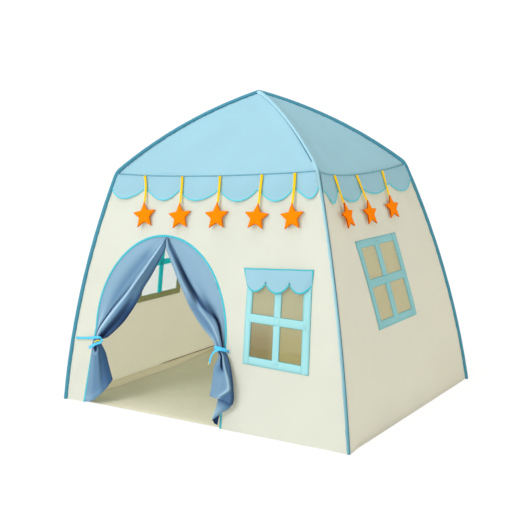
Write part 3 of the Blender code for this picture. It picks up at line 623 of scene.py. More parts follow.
# The front right sleeve: painted light and shade round it, a plain colour high up and a darker painted shade
# low down
PALE = cloth("sleeve_pale", (170, 215, 235), vary=0.02, around=(SLEEVE_PAINTED_LIGHT, (160, 207, 224), (66, 136, 156)))
TAPE = cloth("edge_tape", (96, 204, 220), pitch=0.0007)
SEAM = cloth("eave_seam", (96, 162, 184), pitch=0.0007)
RIDGE = cloth("ridge_seam", (44, 112, 136), pitch=0.0007)
BINDING = cloth("door_tape", (78, 194, 210), pitch=0.0007)
AWNING_TAPE = cloth("flap_tape", (66, 190, 204), pitch=0.0007)
WINDOW_CLOTH = {"pitch": 0.0008, "crinkle": 0.0004}
# One window tape in three copies: the front one as lit, a darker copy painted as shade for the right wall, and
# a saturated copy painted as lit from behind for the left window's bars
STRIP = cloth("window_tape", (177, 237, 242), 0.2, glow=(80, 205, 208), **WINDOW_CLOTH)
STRIP_PAINTED_SHADE = cloth("side_window_tape_painted_shade", (156, 218, 226), 0.2, glow=(80, 205, 208), **WINDOW_CLOTH)
STRIP_BACKLIT = cloth("far_window_tape", (96, 236, 240), 0.74, glow=(64, 248, 252), **WINDOW_CLOTH)
# A darker tape laid under each window tape and showing at its edges: painted shade along the tape edges
TAPE_EDGE_SHADE = cloth("window_tape_edge_shade", (74, 186, 196), 0.1, pitch=0.0008)
RIBBON = cloth("satin_ribbon", (86, 202, 252), rough=0.45, pitch=0.0005, vary=0.02)
YELLOW = cloth("yellow_thread", (250, 208, 36), pitch=0.0005)
THREAD = cloth("sewing_thread", (76, 150, 172), pitch=0.0004)
STITCH = cloth("window_thread", (84, 172, 184), pitch=0.0004)
# A khaki band inside the left window: painted shadow of the outer frame tape, as seen through the wall
FRAME_SHADOW_PAINT = cloth("inner_frame_shadow_paint", (176, 178, 130))
# The left wall's margin on the floor: the wall cloth painted lighter and warmer, as painted light on the pale
# fold, with strong sheen
MARGIN = cloth("wall_margin", (255, 240, 210), sheen=0.5, vary=0.02)
BROWN = cloth("inner_seam", (140, 108, 52))
# One net in three copies: the front one darker khaki, painted as the dim inside behind it, with more painted
# shade lower down; a lighter khaki copy on the right; a pale copy on the left window, painted as lit from
# behind
NET = net_material("net_mesh", (166, 163, 124), 0.38, ((154, 142, 76), (112, 90, 6)))
NET_SIDE = net_material("net_mesh_side", (190, 182, 122), 0.22)
NET_PALE = net_material("net_mesh_pale", (197, 229, 213), 0.24)
# The star's second colour is painted shade at its rim
STAR = felt("star_felt_soft", (255, 136, 2), (186, 66, 0))
# The cord's second colour is painted shade between its strands
CORD = twist("cord_yarn", (255, 226, 40), (252, 194, 10))
FITTING = plastic("fitting_plastic_look", (235, 235, 232))
POLE = plastic("pole_plastic_look", (215, 218, 220), 0.35)


# Hard parts that stay from the CAD model

HARD = ("foot_cap", "eave_elbow", "top_hub", "leg_pole", "roof_pole")
for node_name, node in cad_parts.items():
    if node_name.startswith(HARD):
        node.data.materials.clear()
        node.data.materials.append(POLE if "pole_" in node_name else FITTING)


# Walls

DOOR_MIDDLE, DOOR_HALF, SPRING, RISE = -0.174, 0.318, 0.3, 0.361
LEFT_FLARE, RIGHT_FLARE = 0.05, -0.008


def door_half(height, side, inset=0.0):
    """From the door's middle line to its edge, set in from the binding's outer edge."""
    half = DOOR_HALF - inset
    if height >= SPRING:
        lift = min((height - SPRING) / (RISE - inset), 1)
        return half * sqrt(1 - lift * lift)
    return half + (LEFT_FLARE if side < 0 else RIGHT_FLARE) * (1 - height / SPRING)


def door_line(inset, steps=72):
    """The arch from its left foot over the top to its right foot."""
    jamb = np.linspace(0, SPRING - 0.01, 30)
    line = [(DOOR_MIDDLE - door_half(h, -1, inset), h) for h in jamb]
    line += [(DOOR_MIDDLE - (DOOR_HALF - inset) * cos(a), SPRING + (RISE - inset) * sin(a))
             for a in np.linspace(0, pi, steps)]
    line += [(DOOR_MIDDLE + door_half(h, 1, inset), h) for h in jamb[::-1]]
    return [(float(x), float(y)) for x, y in line]


# Each window's middle, height, half width, half height and lean
WINDOWS = {
    "front": (0.3483, 0.395, 0.1293, 0.161, 0.0),
    "right": (-0.0493, 0.4876, 0.1525, 0.1535, 0.122),
    "left": (-0.0285, 0.484, 0.141, 0.161, -0.04),
}


def window_point(side, across, rise):
    """A place in a window, which may lean."""
    middle, height, half, _, lean = WINDOWS[side]
    if side == "front":
        return (middle + across - 0.016 * (across / half + 1) * rise, height + rise - 0.038 * across)
    return (middle + across - lean * rise, height + rise)


# Widths of the left, right, bottom and top tapes, place of the bars, widths of the upright and the level bar
BARS = {
    "front": (0.0235, 0.0285, 0.0265, 0.0245, 0.0, -0.004, 0.0255, 0.0275),
    "right": (0.0245, 0.031, 0.026, 0.0247, -0.010, 0.0045, 0.033, 0.0275),
    "left": (0.0245, 0.0245, 0.026, 0.026, 0.0, 0.0, 0.0258, 0.025),
}


def opening(side, lap=0.002):
    """The hole in a wall behind a window's frame: left, right, bottom and top from the window's middle."""
    _, _, half, tall, _ = WINDOWS[side]
    left, right, bottom, top = BARS[side][:4]
    return left - half - lap, half - right + lap, bottom - tall - lap, tall - top + lap


DOOR_AREA, WINDOW_AREA = 0.358, 0.062


def wall_holes(side):
    """Outlines of the door and the window that are cut out of a wall."""
    holes = []
    if side == "front":
        line = door_line(-0.0003)
        holes.append([(line[0][0], -0.02)] + line + [(line[-1][0], -0.02)])
    if side != "back":
        left, right, bottom, top = opening(side)
        corners = ((left, bottom), (right, bottom), (right, top), (left, top))
        holes.append([tuple(p) for p in ring([window_point(side, *pair) for pair in corners], 0.011)])
    return holes


def make_wall(side):
    """One wall as a single layer of cloth."""
    face, holes = FACES[side], wall_holes(side)
    rows = spread(0.006, 0.016, 0.06)
    points = np.array([(t * face.edge(r * face.seam(t)), r * face.seam(t))
                       for r in rows for t in mirrored(spread(0.006, 0.017, 0.09))])
    for h in holes:
        points = points[gaps(points, h) > 0.004]
    points = [tuple(p) for p in points]
    edges = []
    for h in holes:
        line = [p for p in h if p[1] >= 0]
        start = len(points)
        points += line
        edges += [(start + k, start + k + 1) for k in range(len(line) - 1)]
        if len(line) == len(h):
            edges.append((start + len(line) - 1, start))
    flat, _, faces, *_ = delaunay_2d_cdt([Vector(p) for p in points], edges, [], 0, 1e-6)
    middles = np.array([[sum(flat[i][k] for i in f) / 3 for k in (0, 1)] for f in faces])
    good = np.ones(len(faces), bool)
    for h in holes:
        good &= ~inside(middles, h)
    kept = [tuple(f) for f, (x, y), fine in zip(faces, middles, good)
            if fine and abs(x) < face.edge(y) + 0.0005 and y < face.seam(x / face.edge(y)) + 0.0005]
    used = sorted({i for f in kept for i in f})
    renumber = {old: new for new, old in enumerate(used)}
    made = [face.at(flat[i].x, max(flat[i].y, 0)) for i in used]
    # The left and back walls take the copy painted lighter
    wall = build("cloth_wall_" + side, made, [tuple(renumber[i] for i in f) for f in kept],
                 [(flat[i].x, flat[i].y) for i in used], WALL_PAINTED_LIGHTER if side in ("left", "back") else WALL,
                 replaces=["wall_" + side], slot="wall_cloth", spin=face.spin)
    area = 0.97 * (face.edge(0.02) + face.edge(0.86)) * 0.89
    area -= DOOR_AREA * (side == "front") + WINDOW_AREA * (side != "back")
    width = 2 * face.edge(0)


for wall_side in FACES:
    make_wall(wall_side)


# Roof panels

def make_roof(side):
    """One roof panel from the eave seam to the peak."""
    face = FACES[side]
    rows = [0.5 - 0.5 * cos(pi * k / 70) for k in range(70)] + [0.9985]

    def place(s, t):
        return face.roof_at(s, t), (s * face.edge(0.88) * (1 - t), t * 0.55)

    roof = build("cloth_roof_" + side, *grid(place, mirrored(spread(0.012, 0.04, 0.12)), rows), ROOF,
                 replaces=["roof_panel_" + side], slot="roof_cloth", spin=face.spin)
    width = 2 * face.edge(0.885)
    slope = (face.roof_at(0, 1) - face.roof_at(0, 0)).length


for roof_side in FACES:
    make_roof(roof_side)


# Corner sleeves over the poles

def leans(points):
    """Outward directions square to a pole line."""
    outs = []
    for i, p in enumerate(points):
        along = (points[min(i + 1, len(points) - 1)] - points[max(i - 1, 0)]).normalized()
        up = smooth(0.8, 0.95, p.z) * 1.2
        outs.append(square_to(along, OUTWARD + UP * up))
    return outs


ROOF_END = 1.175  # height where the front right sleeve's roof fold is widest


def pole_path():
    """One corner's pole line, evenly cut, with its outward directions."""
    line = spline(LINE[::3] + [LINE[-1]], 240)
    return line, leans(line)


def make_sleeve(name, sx, sy, material, over):
    """The cloth tube round one pole, flatter and folded along the roof, with fine creases."""
    line, outs = pole_path()
    if over:
        end, ahead = line[-1], (line[-1] - line[-2]).normalized()
        for k in range(1, 7):
            line.append(end + Vector((ahead.x, ahead.y, 0)) * (0.0035 * k) - UP * (0.0004 * k * k))
            outs.append(outs[-1])
    runs = lengths(line)
    points, uvs = [], []
    around, seed = 22, sx * 3 + sy * 7
    for i, (p, s, n) in enumerate(zip(line, frames_of(line, outs), outs)):
        flat = smooth(0.885, 0.93, p.z)
        if over:
            high = 0.0068 + 0.0003 * flat
            wide = 0.0064 + 0.0006 * smooth(0.8, 0.87, p.z) + 0.005 * smooth(1.08, ROOF_END, p.z)
        else:
            high, wide = 0.0088 + 0.0002 * flat, 0.0088 + 0.001 * flat
        for k in range(around):
            a = 2 * pi * k / around
            crease = 0.045 * wobble(runs[i] * 26, a * 1.1, seed) + 0.03 * wobble(runs[i] * 90, a * 1.6, seed)
            crease = 1 + crease * (0.4 if over else 1)
            x, y = wide * cos(a) * crease, high * sin(a) * crease
            if y < 0:
                y *= 1 - 0.5 * flat
            q = p + s * x + n * y
            points.append(Vector((q.x * sx, q.y * sy, max(q.z, 0.0))))
            uvs.append((a * SLEEVE_RADIUS, runs[i]))
    faces = tube_faces(around, len(line))
    if sx * sy < 0:
        faces = [f[::-1] for f in faces]
    build("cloth_sleeve_" + name, points, faces, uvs, material, replaces=["corner_sleeve_" + name],
          slot="sleeve_cloth")


def make_ridge_seam():
    """The sewn line beside the folded sleeve over the roof's front right edge."""
    line, outs = pole_path()
    path, normals, thin = [], [], []
    for p, s, n in zip(line, frames_of(line, outs), outs):
        if 0.915 < p.z < 1.168:
            q = p + s * (0.0076 + 0.005 * smooth(1.08, ROOF_END, p.z)) + n * 0.0032
            path.append(Vector((q.x, -q.y, q.z)))
            normals.append(Vector((n.x, -n.y, n.z)))
            thin.append(0.5 + 0.8 * smooth(1.08, 0.95, p.z))
    strip("seam_ridge", path, normals, tape_section(0.0024, 0.0012), RIDGE, sizes=thin)


make_ridge_seam()
# The left and back sleeves take the copy painted as shade; the front right one has painted light and shade
# round it
make_sleeve("front_left", -1, -1, SLEEVE_PAINTED_SHADE, False)
make_sleeve("front_right", 1, -1, PALE, True)
make_sleeve("back_right", 1, 1, SLEEVE_PAINTED_SHADE, False)
make_sleeve("back_left", -1, 1, SLEEVE_PAINTED_SHADE, False)


def dashes(name, path, outs, material, pitch, long, wide, high=0.0005, across=False, spin=None):
    """Sewing stitches along a line, lying on the cloth."""
    sides, runs = frames_of(path, outs), lengths(path)
    parts = []
    for k in range(int(runs[-1] / pitch)):
        p, i = part_way(path, runs, (k + 0.5) * pitch)
        s, n = sides[i], outs[i]
        along = n.cross(s).normalized()
        if across:
            s, along = along, s
        a, b = along * (long / 2), s * (wide / 2)
        corners = ((-1, -1), (1, -1), (1, 1), (-1, 1))
        points = [p + a * x + b * y for x, y in corners]
        points += [p + a * (0.7 * x) + b * (0.6 * y) + n * high for x, y in corners]
        faces = [(4, 5, 6, 7)] + [(c, (c + 1) % 4, (c + 1) % 4 + 4, c + 4) for c in range(4)]
        parts.append((points, faces, [(0, 0)] * 8))
    build(name, *join(parts), material, spin=spin)


# Eave seams and scalloped valances

# Where the scallops meet, in shares of the half width
VALLEYS = {"front": (-0.637, -0.265, 0.115, 0.48, 0.79), "right": (-0.697, -0.19, 0.417)}
VALLEYS["back"], VALLEYS["left"] = VALLEYS["front"], VALLEYS["right"]
# Each scallop's lowest place along it and its depth there
LOBES = {
    "front": ((0.46, 0.037), (0.61, 0.0355), (0.45, 0.034), (0.5, 0.0365), (0.49, 0.039), (0.6, 0.034)),
    "right": ((0.53, 0.0405), (0.45, 0.0375), (0.42, 0.022), (0.44, 0.037)),
}
LOBES["back"], LOBES["left"] = LOBES["front"], ((0.5, 0.036),) * 4


def valance_point(face, valleys, s, r):
    """A place on a valance: s runs over its lobes, r from the seam down to its edge."""
    lobes = len(valleys) - 1
    lobe = min(int(s * lobes + 1e-6), lobes - 1)
    along = s * lobes - lobe
    share = valleys[lobe] + (valleys[lobe + 1] - valleys[lobe]) * along
    peak, depth = LOBES[face.side][lobe]
    inner = min(max((along - (0.05 if lobe else 0)) / (0.95 if lobe in (0, lobes - 1) else 0.9), 0), 1)
    curled = (face.side, lobe) == ("right", 0)
    power = 0.8 if not curled else 2.3 if inner < peak else 1.0
    swell = sin(pi * inner ** (log(0.5) / log(peak))) ** power
    fall = 0.054 + depth * swell + 0.009 * curled * (1 - along) ** 2
    height = face.seam(share) + 0.0016 * (1 - r) - fall * r
    puff = 0.0035 * swell * sin(pi * min(r * 1.1, 1)) + 0.0055 * swell ** 2 * r * r
    puff += 0.0016 * r * wobble(share * 9 + face.seed, r, lobe)
    x = share * (face.edge(height) - (0.0035 if face.wrap(share, 0) else 0.006))
    return face.at(x, height, 0.0023 + puff), (x, height)


def make_valance(side):
    """The scalloped strip below the eave of one side, its taped edge and the seam above it."""
    face = FACES[side]
    valleys = (-1,) + VALLEYS[side] + (1,)
    lobes = len(valleys) - 1

    def place(s, r):
        return valance_point(face, valleys, s, r)

    ss = [k / (22 * lobes) for k in range(22 * lobes + 1)]
    flap = build("cloth_valance_" + side, *grid(place, ss, [k / 10 for k in range(11)], flip=True), ROOF,
                 replaces=["valance_" + side], slot="roof_cloth", spin=face.spin)
    width = 2 * face.edge(0.85)
    path, outs = [], []
    for k in range(30 * lobes + 1):
        p, up = (place(k / (30 * lobes), r)[0] for r in (1, 0.9))
        path.append(p.lerp(up, 0.0021 / max((up - p).length, 1e-6)))
        outs.append(face.slope(p.z))
    section = [(a, b - 0.0011) for a, b in tape_section(0.0052, 0.0022)]
    tape = strip("tape_valance_" + side, path, outs, section, TAPE, spin=face.spin)
    path = [face.at(s * (face.edge(face.seam(s)) - 0.004), face.seam(s) + 0.0006, 0.0036)
            for s in np.linspace(-1, 1, 140)]
    strip("seam_eave_" + side, path, [face.slope(p.z) for p in path], tape_section(0.0034, 0.0012), SEAM,
          spin=face.spin)


for valance_side in FACES:
    make_valance(valance_side)


# Star pendants

# Radii of the star's sharp tips and notches, how much of each is rounded, and its middle below its top tip
STAR_TIP, STAR_NOTCH, ROUND_TIP, ROUND_NOTCH, STAR_DROP = 0.0562, 0.0262, 0.0034, 0.0015, 0.054
STAR_REACH = 0.0546  # from the middle to a rounded tip
STAR_HIGH, STAR_RIM = 0.0062, 0.0165  # how far each half swells, and over what width


def star_mesh():
    """A plump five-point star in the XZ plane with its top tip at the origin; the second value of its uvs is 1
    at the rim, where the felt's painted shade goes.
    """
    corners = [Vector((r * cos(a), r * sin(a))) for r, a in
               ((STAR_NOTCH if k % 2 else STAR_TIP, pi / 2 + pi * k / 5) for k in range(10))]
    outline = []
    for k, tip in enumerate(corners):
        before, after = corners[k - 1], corners[(k + 1) % 10]
        cut, next_cut = (ROUND_NOTCH, ROUND_TIP) if k % 2 else (ROUND_TIP, ROUND_NOTCH)
        start = tip + (before - tip).normalized() * cut
        end = tip + (after - tip).normalized() * cut
        outline += [start.lerp(tip, t).lerp(tip.lerp(end, t), t) for t in (0, 0.25, 0.5, 0.75, 1)]
        far = after + (tip - after).normalized() * next_cut
        outline += [end.lerp(far, j / 5) for j in range(1, 5)]
    count = len(outline)
    rings = [1.0, 0.985, 0.955, 0.91, 0.85, 0.76, 0.64, 0.5, 0.35, 0.2]
    border = [tuple(p) for p in outline[::3]]
    points, uvs, faces = [], [], []
    for front in (1, -1):
        for share in rings:
            spots = np.array([tuple(p * share) for p in outline])
            for p, gap in zip(outline, gaps(spots, border)):
                gap = 0 if share == 1 else max(float(gap), (1 - share) * 0.01)
                high = STAR_HIGH * sqrt(max(0.0, 1 - (1 - min(gap / STAR_RIM, 1)) ** 2))
                points.append(Vector((p.x * share, -front * (0.0008 + high), p.y * share - STAR_DROP)))
                # 1 at the rim, where the painted rim shade goes
                uvs.append((p.x * share, 1 - smooth(0.0, 0.0014, gap) if share < 1 else 1.0))
        points.append(Vector((0, -front * 0.0072, -STAR_DROP)))
        uvs.append((0, 0))
    block = count * len(rings) + 1
    for start, turn in ((0, 1), (block, -1)):
        inner = start + block - 1
        half = [tuple(start + i for i in f) for f in grid_faces(count, len(rings) - 1, close=True)]
        half += [(inner - count + k, inner - count + (k + 1) % count, inner) for k in range(count)]
        faces += [f[::turn] for f in half]
    faces += [((k + 1) % count, k, k + block, (k + 1) % count + block) for k in range(count)]
    return points, faces, uvs


STAR_PARTS = star_mesh()
# For each star its cord's top and its middle across the wall, its height, reach, tilt and turn
STARS = {
    "front": ((-0.3013, -0.2739, 0.7272, 0.0515, -8.9, 8), (-0.1178, -0.1021, 0.7265, 0.0506, -7.9, 7),
              (0.0564, 0.0662, 0.7306, 0.0504, -4.4, 6), (0.2366, 0.2371, 0.7309, 0.048, 1.8, 9),
              (0.3699, 0.3806, 0.7339, 0.0477, -6.6, 2)),
    "right": ((-0.2457, -0.2438, 0.7273, 0.0485, -4.5, 6), (-0.0933, -0.0837, 0.7234, 0.0478, 2.9, -2),
              (0.1112, 0.0959, 0.7293, 0.0478, 1.6, -5)),
    "left": ((-0.236, -0.24, 0.727, 0.05, 3, 2), (-0.081, -0.083, 0.724, 0.05, -3, 3),
             (0.112, 0.108, 0.729, 0.05, 4, -2)),
}


def make_pendant(side, number, start, middle, height, reach, tilt, turned):
    """One star on a doubled cord, hanging from the eave seam in the slope of the wall."""
    node, face, tilt = f"star_pendant_{side}_{number}", FACES[side], radians(tilt)
    outward = face.slope(height)
    slope = outward.cross(ACROSS)
    centre = face.at(middle, height, 0.0135, ripple=False)
    tip = centre + (ACROSS * sin(tilt) + slope * cos(tilt)) * reach
    top = face.seam(start / face.edge(0.87))
    down = []
    for t in (k / 24 for k in range(25)):
        x = start + (tip.x - start) * (1 - (1 - t) ** 2.6 if side == "front" else t)
        down.append(face.at(x, top - 0.0015 + (tip.z - 0.004 - top) * t, 0.0077 + 0.004 * t, ripple=False))
    section = [(0.0024 * cos(2 * pi * k / 12), 0.0022 * sin(2 * pi * k / 12)) for k in range(12)]
    outs = [outward] * len(down)
    parts = []
    for strand in (-1, 1):
        path = []
        for k, p in enumerate(down):
            t = k / 24
            apart = 0.0008 * (1 - smooth(0.1, 0.5, t)) + 0.0021
            sway = 0.0006 * sin(t * 5 + number) * t
            path.append(p + ACROSS * (strand * apart + sway) + outward * (0.0004 * strand * sin(t * 9)))
        parts.append(sweep(path, frames_of(path, outs), outs, section))
    cord = build(f"cord_{side}_{number}", *join(parts), CORD, body=node, slot="star_felt", spin=face.spin)
    turn = Matrix((ACROSS, -outward, slope)).transposed().to_4x4()
    place = (face.spin @ Matrix.Translation(centre) @ turn @ Matrix.Rotation(tilt, 4, "Y")
             @ Matrix.Rotation(radians(turned), 4, "Z") @ Matrix.Scale(reach / STAR_REACH, 4)
             @ Matrix.Translation((0, 0, STAR_DROP)))
    points, faces, uvs = STAR_PARTS
    star = build(f"star_{side}_{number}", [place @ p for p in points], faces, uvs, STAR, body=node,
                 replaces=[node], slot="star_felt")
    path = [face.spin @ p for p in down]
    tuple(path[0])


for star_side, rows in STARS.items():
    for star_number, row in enumerate(rows, 1):
        make_pendant(star_side, star_number, *row)


# Door edge tape with its stitches

def make_binding():
    """The tape round the arch of the door, and its stitches."""
    line = door_line(0.0042, 110)
    path = [FRONT.at(x, max(z, 0.001), 0) for x, z in line]
    outs = [FRONT.slope(max(z, 0.02)) for _, z in line]
    section = [(a, b - 0.0014) for a, b in tape_section(0.0086, 0.003)]
    points, faces, uvs = sweep(path, frames_of(path, outs), outs, section)
    for p in points:
        p.z = max(p.z, 0.0)
    build("tape_door", points, faces, uvs, BINDING, replaces=["door_binding"], slot="trim_tape")
    line = door_line(0.0068, 110)
    path = [FRONT.at(x, max(z, 0.004), 0.0014) for x, z in line]
    dashes("stitch_door", path, [FRONT.slope(max(z, 0.02)) for _, z in line], THREAD, 0.0062, 0.0028, 0.0011,
           across=True)


make_binding()


# Windows

def window_path(side, start, end, count, out):
    """Places on a wall along a straight line between two places of its window, and their heights."""
    path, heights = [], []
    for t in (k / count for k in range(count + 1)):
        x, z = window_point(side, *(a + (b - a) * t for a, b in zip(start, end)))
        path.append(FACES[side].at(x, z, out(t)))
        heights.append(z)
    return path, heights


def wall_band(name, side, start, end, width, out, material, thick=0.0009, **more):
    """A flat tape laid straight on a wall from one window place to another."""
    face = FACES[side]
    count = max(8, round(hypot(end[0] - start[0], end[1] - start[1]) / 0.008))
    path, heights = window_path(side, start, end, count,
                                lambda t: out + 0.0003 * wobble(t * 9, side == "front", out * 999))
    strip(name, path, [face.slope(z) for z in heights], tape_section(width, thick, 2), material,
          spin=face.spin, **more)


def make_window(side):
    """The frame of tapes with its stitches and crossed bars, and the net behind it."""
    _, _, half, tall, _ = WINDOWS[side]
    left, right, bottom, top, middle, cross, bar, rail = BARS[side]
    face, lo = FACES[side], 0.0011
    bands = (
        ("bottom", (-half, -tall + bottom / 2), (half, -tall + bottom / 2), bottom, 0.0),
        ("top", (-half, tall - top / 2), (half, tall - top / 2), top, 0.0),
        ("bar_down", (middle, -tall + bottom / 2), (middle, tall - top / 2), bar, 0.0003),
        ("bar_across", (-half + left / 2, cross), (half - right / 2, cross), rail, 0.0011),
        ("stile_a", (-half + left / 2, -tall), (-half + left / 2, tall), left, 0.0009),
        ("stile_b", (half - right / 2, -tall), (half - right / 2, tall), right, 0.0009))
    for word, start, end, width, lift in bands:
        extra = {"replaces": ["window_frame_" + side], "slot": "window_strip"} if word == "bottom" else {}
        backlit = side == "left" and "bar" in word
        # The front takes the lit tape, the right wall the copy painted as shade, the left window's bars the
        # copy painted as lit from behind
        tape = STRIP if side == "front" else STRIP_BACKLIT if backlit else STRIP_PAINTED_SHADE
        wall_band(f"frame_{side}_{word}", side, start, end, width, lo + lift, tape, **extra)
        # Inside the left window: a khaki band painted as the frame's shadow through the wall, and inner copies
        # of the bars painted as lit from behind
        if side == "left":
            wall_band(f"inside_paint_{side}_{word}", side, start, end, width, -0.0024 + lift * 0.3,
                      STRIP_BACKLIT if backlit else FRAME_SHADOW_PAINT)
        else:
            # A darker tape under each band, showing at its edges as painted edge shade
            wall_band(f"edge_{side}_{word}", side, start, end, width + 0.0026, lo + lift - 0.0006, TAPE_EDGE_SHADE,
                      0.0007)
    h, v = bar / 2 - 0.002, rail / 2 - 0.002
    uprights = (0.003 - half, left - half - 0.003, half - 0.003, half - right + 0.003)
    lines = [((x, -tall), (x, tall)) for x in uprights]
    lines += [((middle + x, cross - v), (middle + x, cross + v)) for x in (-h, h)]
    lines += [((middle - h, cross + y), (middle + h, cross + y)) for y in (-v, v)]
    lines += [((-half + left, -tall + 0.003), (half - right, -tall + 0.003))]
    for number, (a, b) in enumerate(lines):
        path, _ = window_path(side, a, b, 39, lambda t: lo + (0.0021 if number > 3 else 0.0019))
        dashes(f"stitch_{side}_{number}", path, [face.slope(p.z) for p in path], STITCH, 0.0036, 0.0028, 0.0006,
               0.0003, spin=face.spin)
    a, b, c, d = opening(side, 0.006)

    def place(u, v):
        x, z = window_point(side, u, v)
        return face.at(x, z, -0.0012), (u, v)

    # Each window takes its own painted copy of the net
    net = {"front": NET, "right": NET_SIDE, "left": NET_PALE}[side]
    build("mesh_window_" + side, *grid(place, np.linspace(a, b, 22), np.linspace(c, d, 26)), net,
          replaces=["window_net_" + side], slot="net", spin=face.spin)


for window_side in WINDOWS:
    make_window(window_side)


# Flap over the front window

AWNING_ACROSS, AWNING_TOP, AWNING_HALF, AWNING_DROP = 0.338, 0.5643, 0.1386, 0.0495
AWNING_DEPTHS = (0.029, 0.0325, 0.0295)


def awning_point(s, r, out=0.0):
    """A place on the flap: s from left to right, r from its sewn top to its scalloped edge."""
    along = s * 3 % 1 if s < 1 else 1.0
    swell = sin(pi * along) ** 0.75 if 0 < along < 1 else 0.0
    drop = (AWNING_DROP + AWNING_DEPTHS[min(int(s * 3 + 1e-9), 2)] * swell) * r
    spot = float(np.interp(s, (0, 1 / 3, 2 / 3, 1), (0, 0.319, 0.685, 1)))
    x = AWNING_ACROSS + 0.006 * r + (AWNING_HALF - 0.0086 * r) * (2 * spot - 1)
    puff = 0.006 * sin(pi * r * 0.8) * (1 - (2 * s - 1) ** 6) + 0.004 * swell * r * r
    side_turn = -0.0025 * r * (2 * s - 1) ** 8
    top = AWNING_TOP + 0.029 * (x - AWNING_ACROSS)
    return FRONT.at(x, top - drop, 0.0042 + puff + side_turn + out), (x, drop)


def make_awning():
    """The flap with its taped edges and the tacks between its scallops."""
    ss = [k / 66 for k in range(67)]
    rs = [k / 12 for k in range(13)]
    flap = build("cloth_awning", *grid(awning_point, ss, rs, flip=True), ROOF, body="window_awning",
                 replaces=["window_awning"], slot="roof_cloth")
    edge = [awning_point(0, r)[0] for r in np.linspace(0, 1, 14)][:-1]
    edge += [awning_point(k / 90, 1)[0] for k in range(91)]
    edge += [awning_point(1, r)[0] for r in np.linspace(1, 0, 14)][1:]
    section = [(a - 0.0014, b - 0.001) for a, b in tape_section(0.0056, 0.002)]
    tape = strip("tape_awning", edge, [FRONT.slope(p.z) for p in edge], section, AWNING_TAPE,
                 body="window_awning")
    top = [awning_point(s, 0.03, 0.0004)[0] for s in np.linspace(0, 1, 40)]
    strip("tape_awning_top", top, [FRONT.slope(p.z) for p in top], tape_section(0.0044, 0.0012), AWNING_TAPE)
    tacks = []
    for s in (1 / 3, 2 / 3):
        p = awning_point(s, 0.97, 0.0016)[0]
        n = FRONT.slope(p.z)
        up = ACROSS.cross(n) * 0.0032
        tacks.append(sweep([p - up, p + up], [ACROSS] * 2, [n] * 2, tape_section(0.0056, 0.0014)))
    knots = build("tacks_awning", *join(tacks), THREAD, body="window_awning")


make_awning()


# Door curtains, placed along the camera's own sight lines so that they keep the photo's outline

def seen(x, z, out):
    """The place that stands out from the front wall and looks, in the photo, as if it lay on it at x, z."""
    flat = FRONT.at(x, z, 0, ripple=False)
    ray = (flat - EYE).normalized()
    return flat + ray * (out / ray.dot(FRONT.slope(z)))


def sewn_line(side, low):
    """The curtain's sewn edge from the crown of the arch down to a height."""
    heights = [SPRING + 0.3525 * cos(a) for a in np.linspace(0.02, pi / 2, 40)]
    heights += list(np.linspace(0.295, low, 8))
    return [(float(DOOR_MIDDLE + side * door_half(h, side, 0.0085)), float(h)) for h in heights]


def bell(value, middle, width):
    """1 at the middle, falling to 0 over about the width."""
    return exp(-((value - middle) / width) ** 2)


def between(value, low, high, soft):
    """1 between low and high, falling to 0 outside."""
    return smooth(low - soft, low + soft, value) * smooth(high + soft, high - soft, value)


# Places from the sewn edge (-1) over the crease (0) to the free edge (1), and how far out the cloth stands
# there on the left (-1) and the right (1) curtain, high up and near the tie
PLACES = (-1, -0.66, -0.38, -0.16, -0.05, 0.0, 0.05, 0.16, 0.3, 0.45, 0.62, 0.8, 0.93, 1)
UPPER = {
    -1: (0, -0.05, -0.28, -0.1, -0.3, 0.2, 1.0, 1.0, 0.75, 0.45, 0.15, -0.15, -0.45, -0.65),
    1: (0, 0, -0.1, -0.15, 0.0, 0.2, -0.55, -0.75, -0.6, 0.4, 0.95, 0.95, 0.5, -0.2),
}
LOWER = {
    -1: (0, -0.05, -0.1, -0.15, -0.5, 0.1, 0.9, 1.05, 1.1, 0.7, -0.1, 0.1, -0.1, -0.5),
    1: (0, -0.1, -0.3, -0.65, -0.6, 0.1, 0.9, 1.05, 0.6, 0.35, 0.2, 0.15, -0.1, -0.5),
}


def fold_shade(side, u, t):
    """Painted fold shade and highlight on a curtain, 0 lightest to 1 darkest: u as in PLACES, t from the crown
    of the arch to the tie.
    """
    if side < 0:
        painted_shade = 0.2 + 0.34 * bell(u, -0.3, 0.2) * smooth(0.08, 0.25, t) * smooth(0.9, 0.6, t)
        painted_shade += 0.6 * bell(u, -0.04, 0.03) * smooth(0.38, 0.55, t) - 0.24 * bell(u, 0.06, 0.06)
        painted_shade += 0.34 * smooth(0.08, 0.22, u) + 0.2 * smooth(0.5, 1, u)
        return painted_shade + 0.3 * smooth(0.3, 0.5, u) * smooth(0.45, 0.7, t) + 0.16 * smooth(0.88, 1, t)
    reach = 0.42 - 0.34 * t
    upper = smooth(0.0, 0.08, t) * smooth(0.85, 0.6, t)
    painted_shade = 0.2 + 0.16 * bell(u, -0.25, 0.15) * smooth(0.35, 0.65, t)
    painted_shade += 0.32 * bell(u, -0.12, 0.24) * smooth(0.52, 0.68, t)
    painted_shade += (0.35 + 0.3 * smooth(0.12, 0.4, t)) * between(u, 0.0, reach, 0.06) * upper
    painted_shade += 0.32 * bell(u, reach + 0.12, 0.14) + 0.15 * smooth(0.92, 1, u)
    painted_shade += 0.34 * between(u, 0.5, 0.92, 0.1) * smooth(0.45, 0.62, t) * smooth(1, 0.8, t)
    painted_shade -= 0.3 * bell(u, 0.36, 0.08) * smooth(0.5, 0.62, t)
    return painted_shade + 0.7 * between(u, 0.01 - 0.3 * t, 0.0, 0.06) * smooth(0.7, 0.84, t) + 0.16 * smooth(0.9, 1, t)


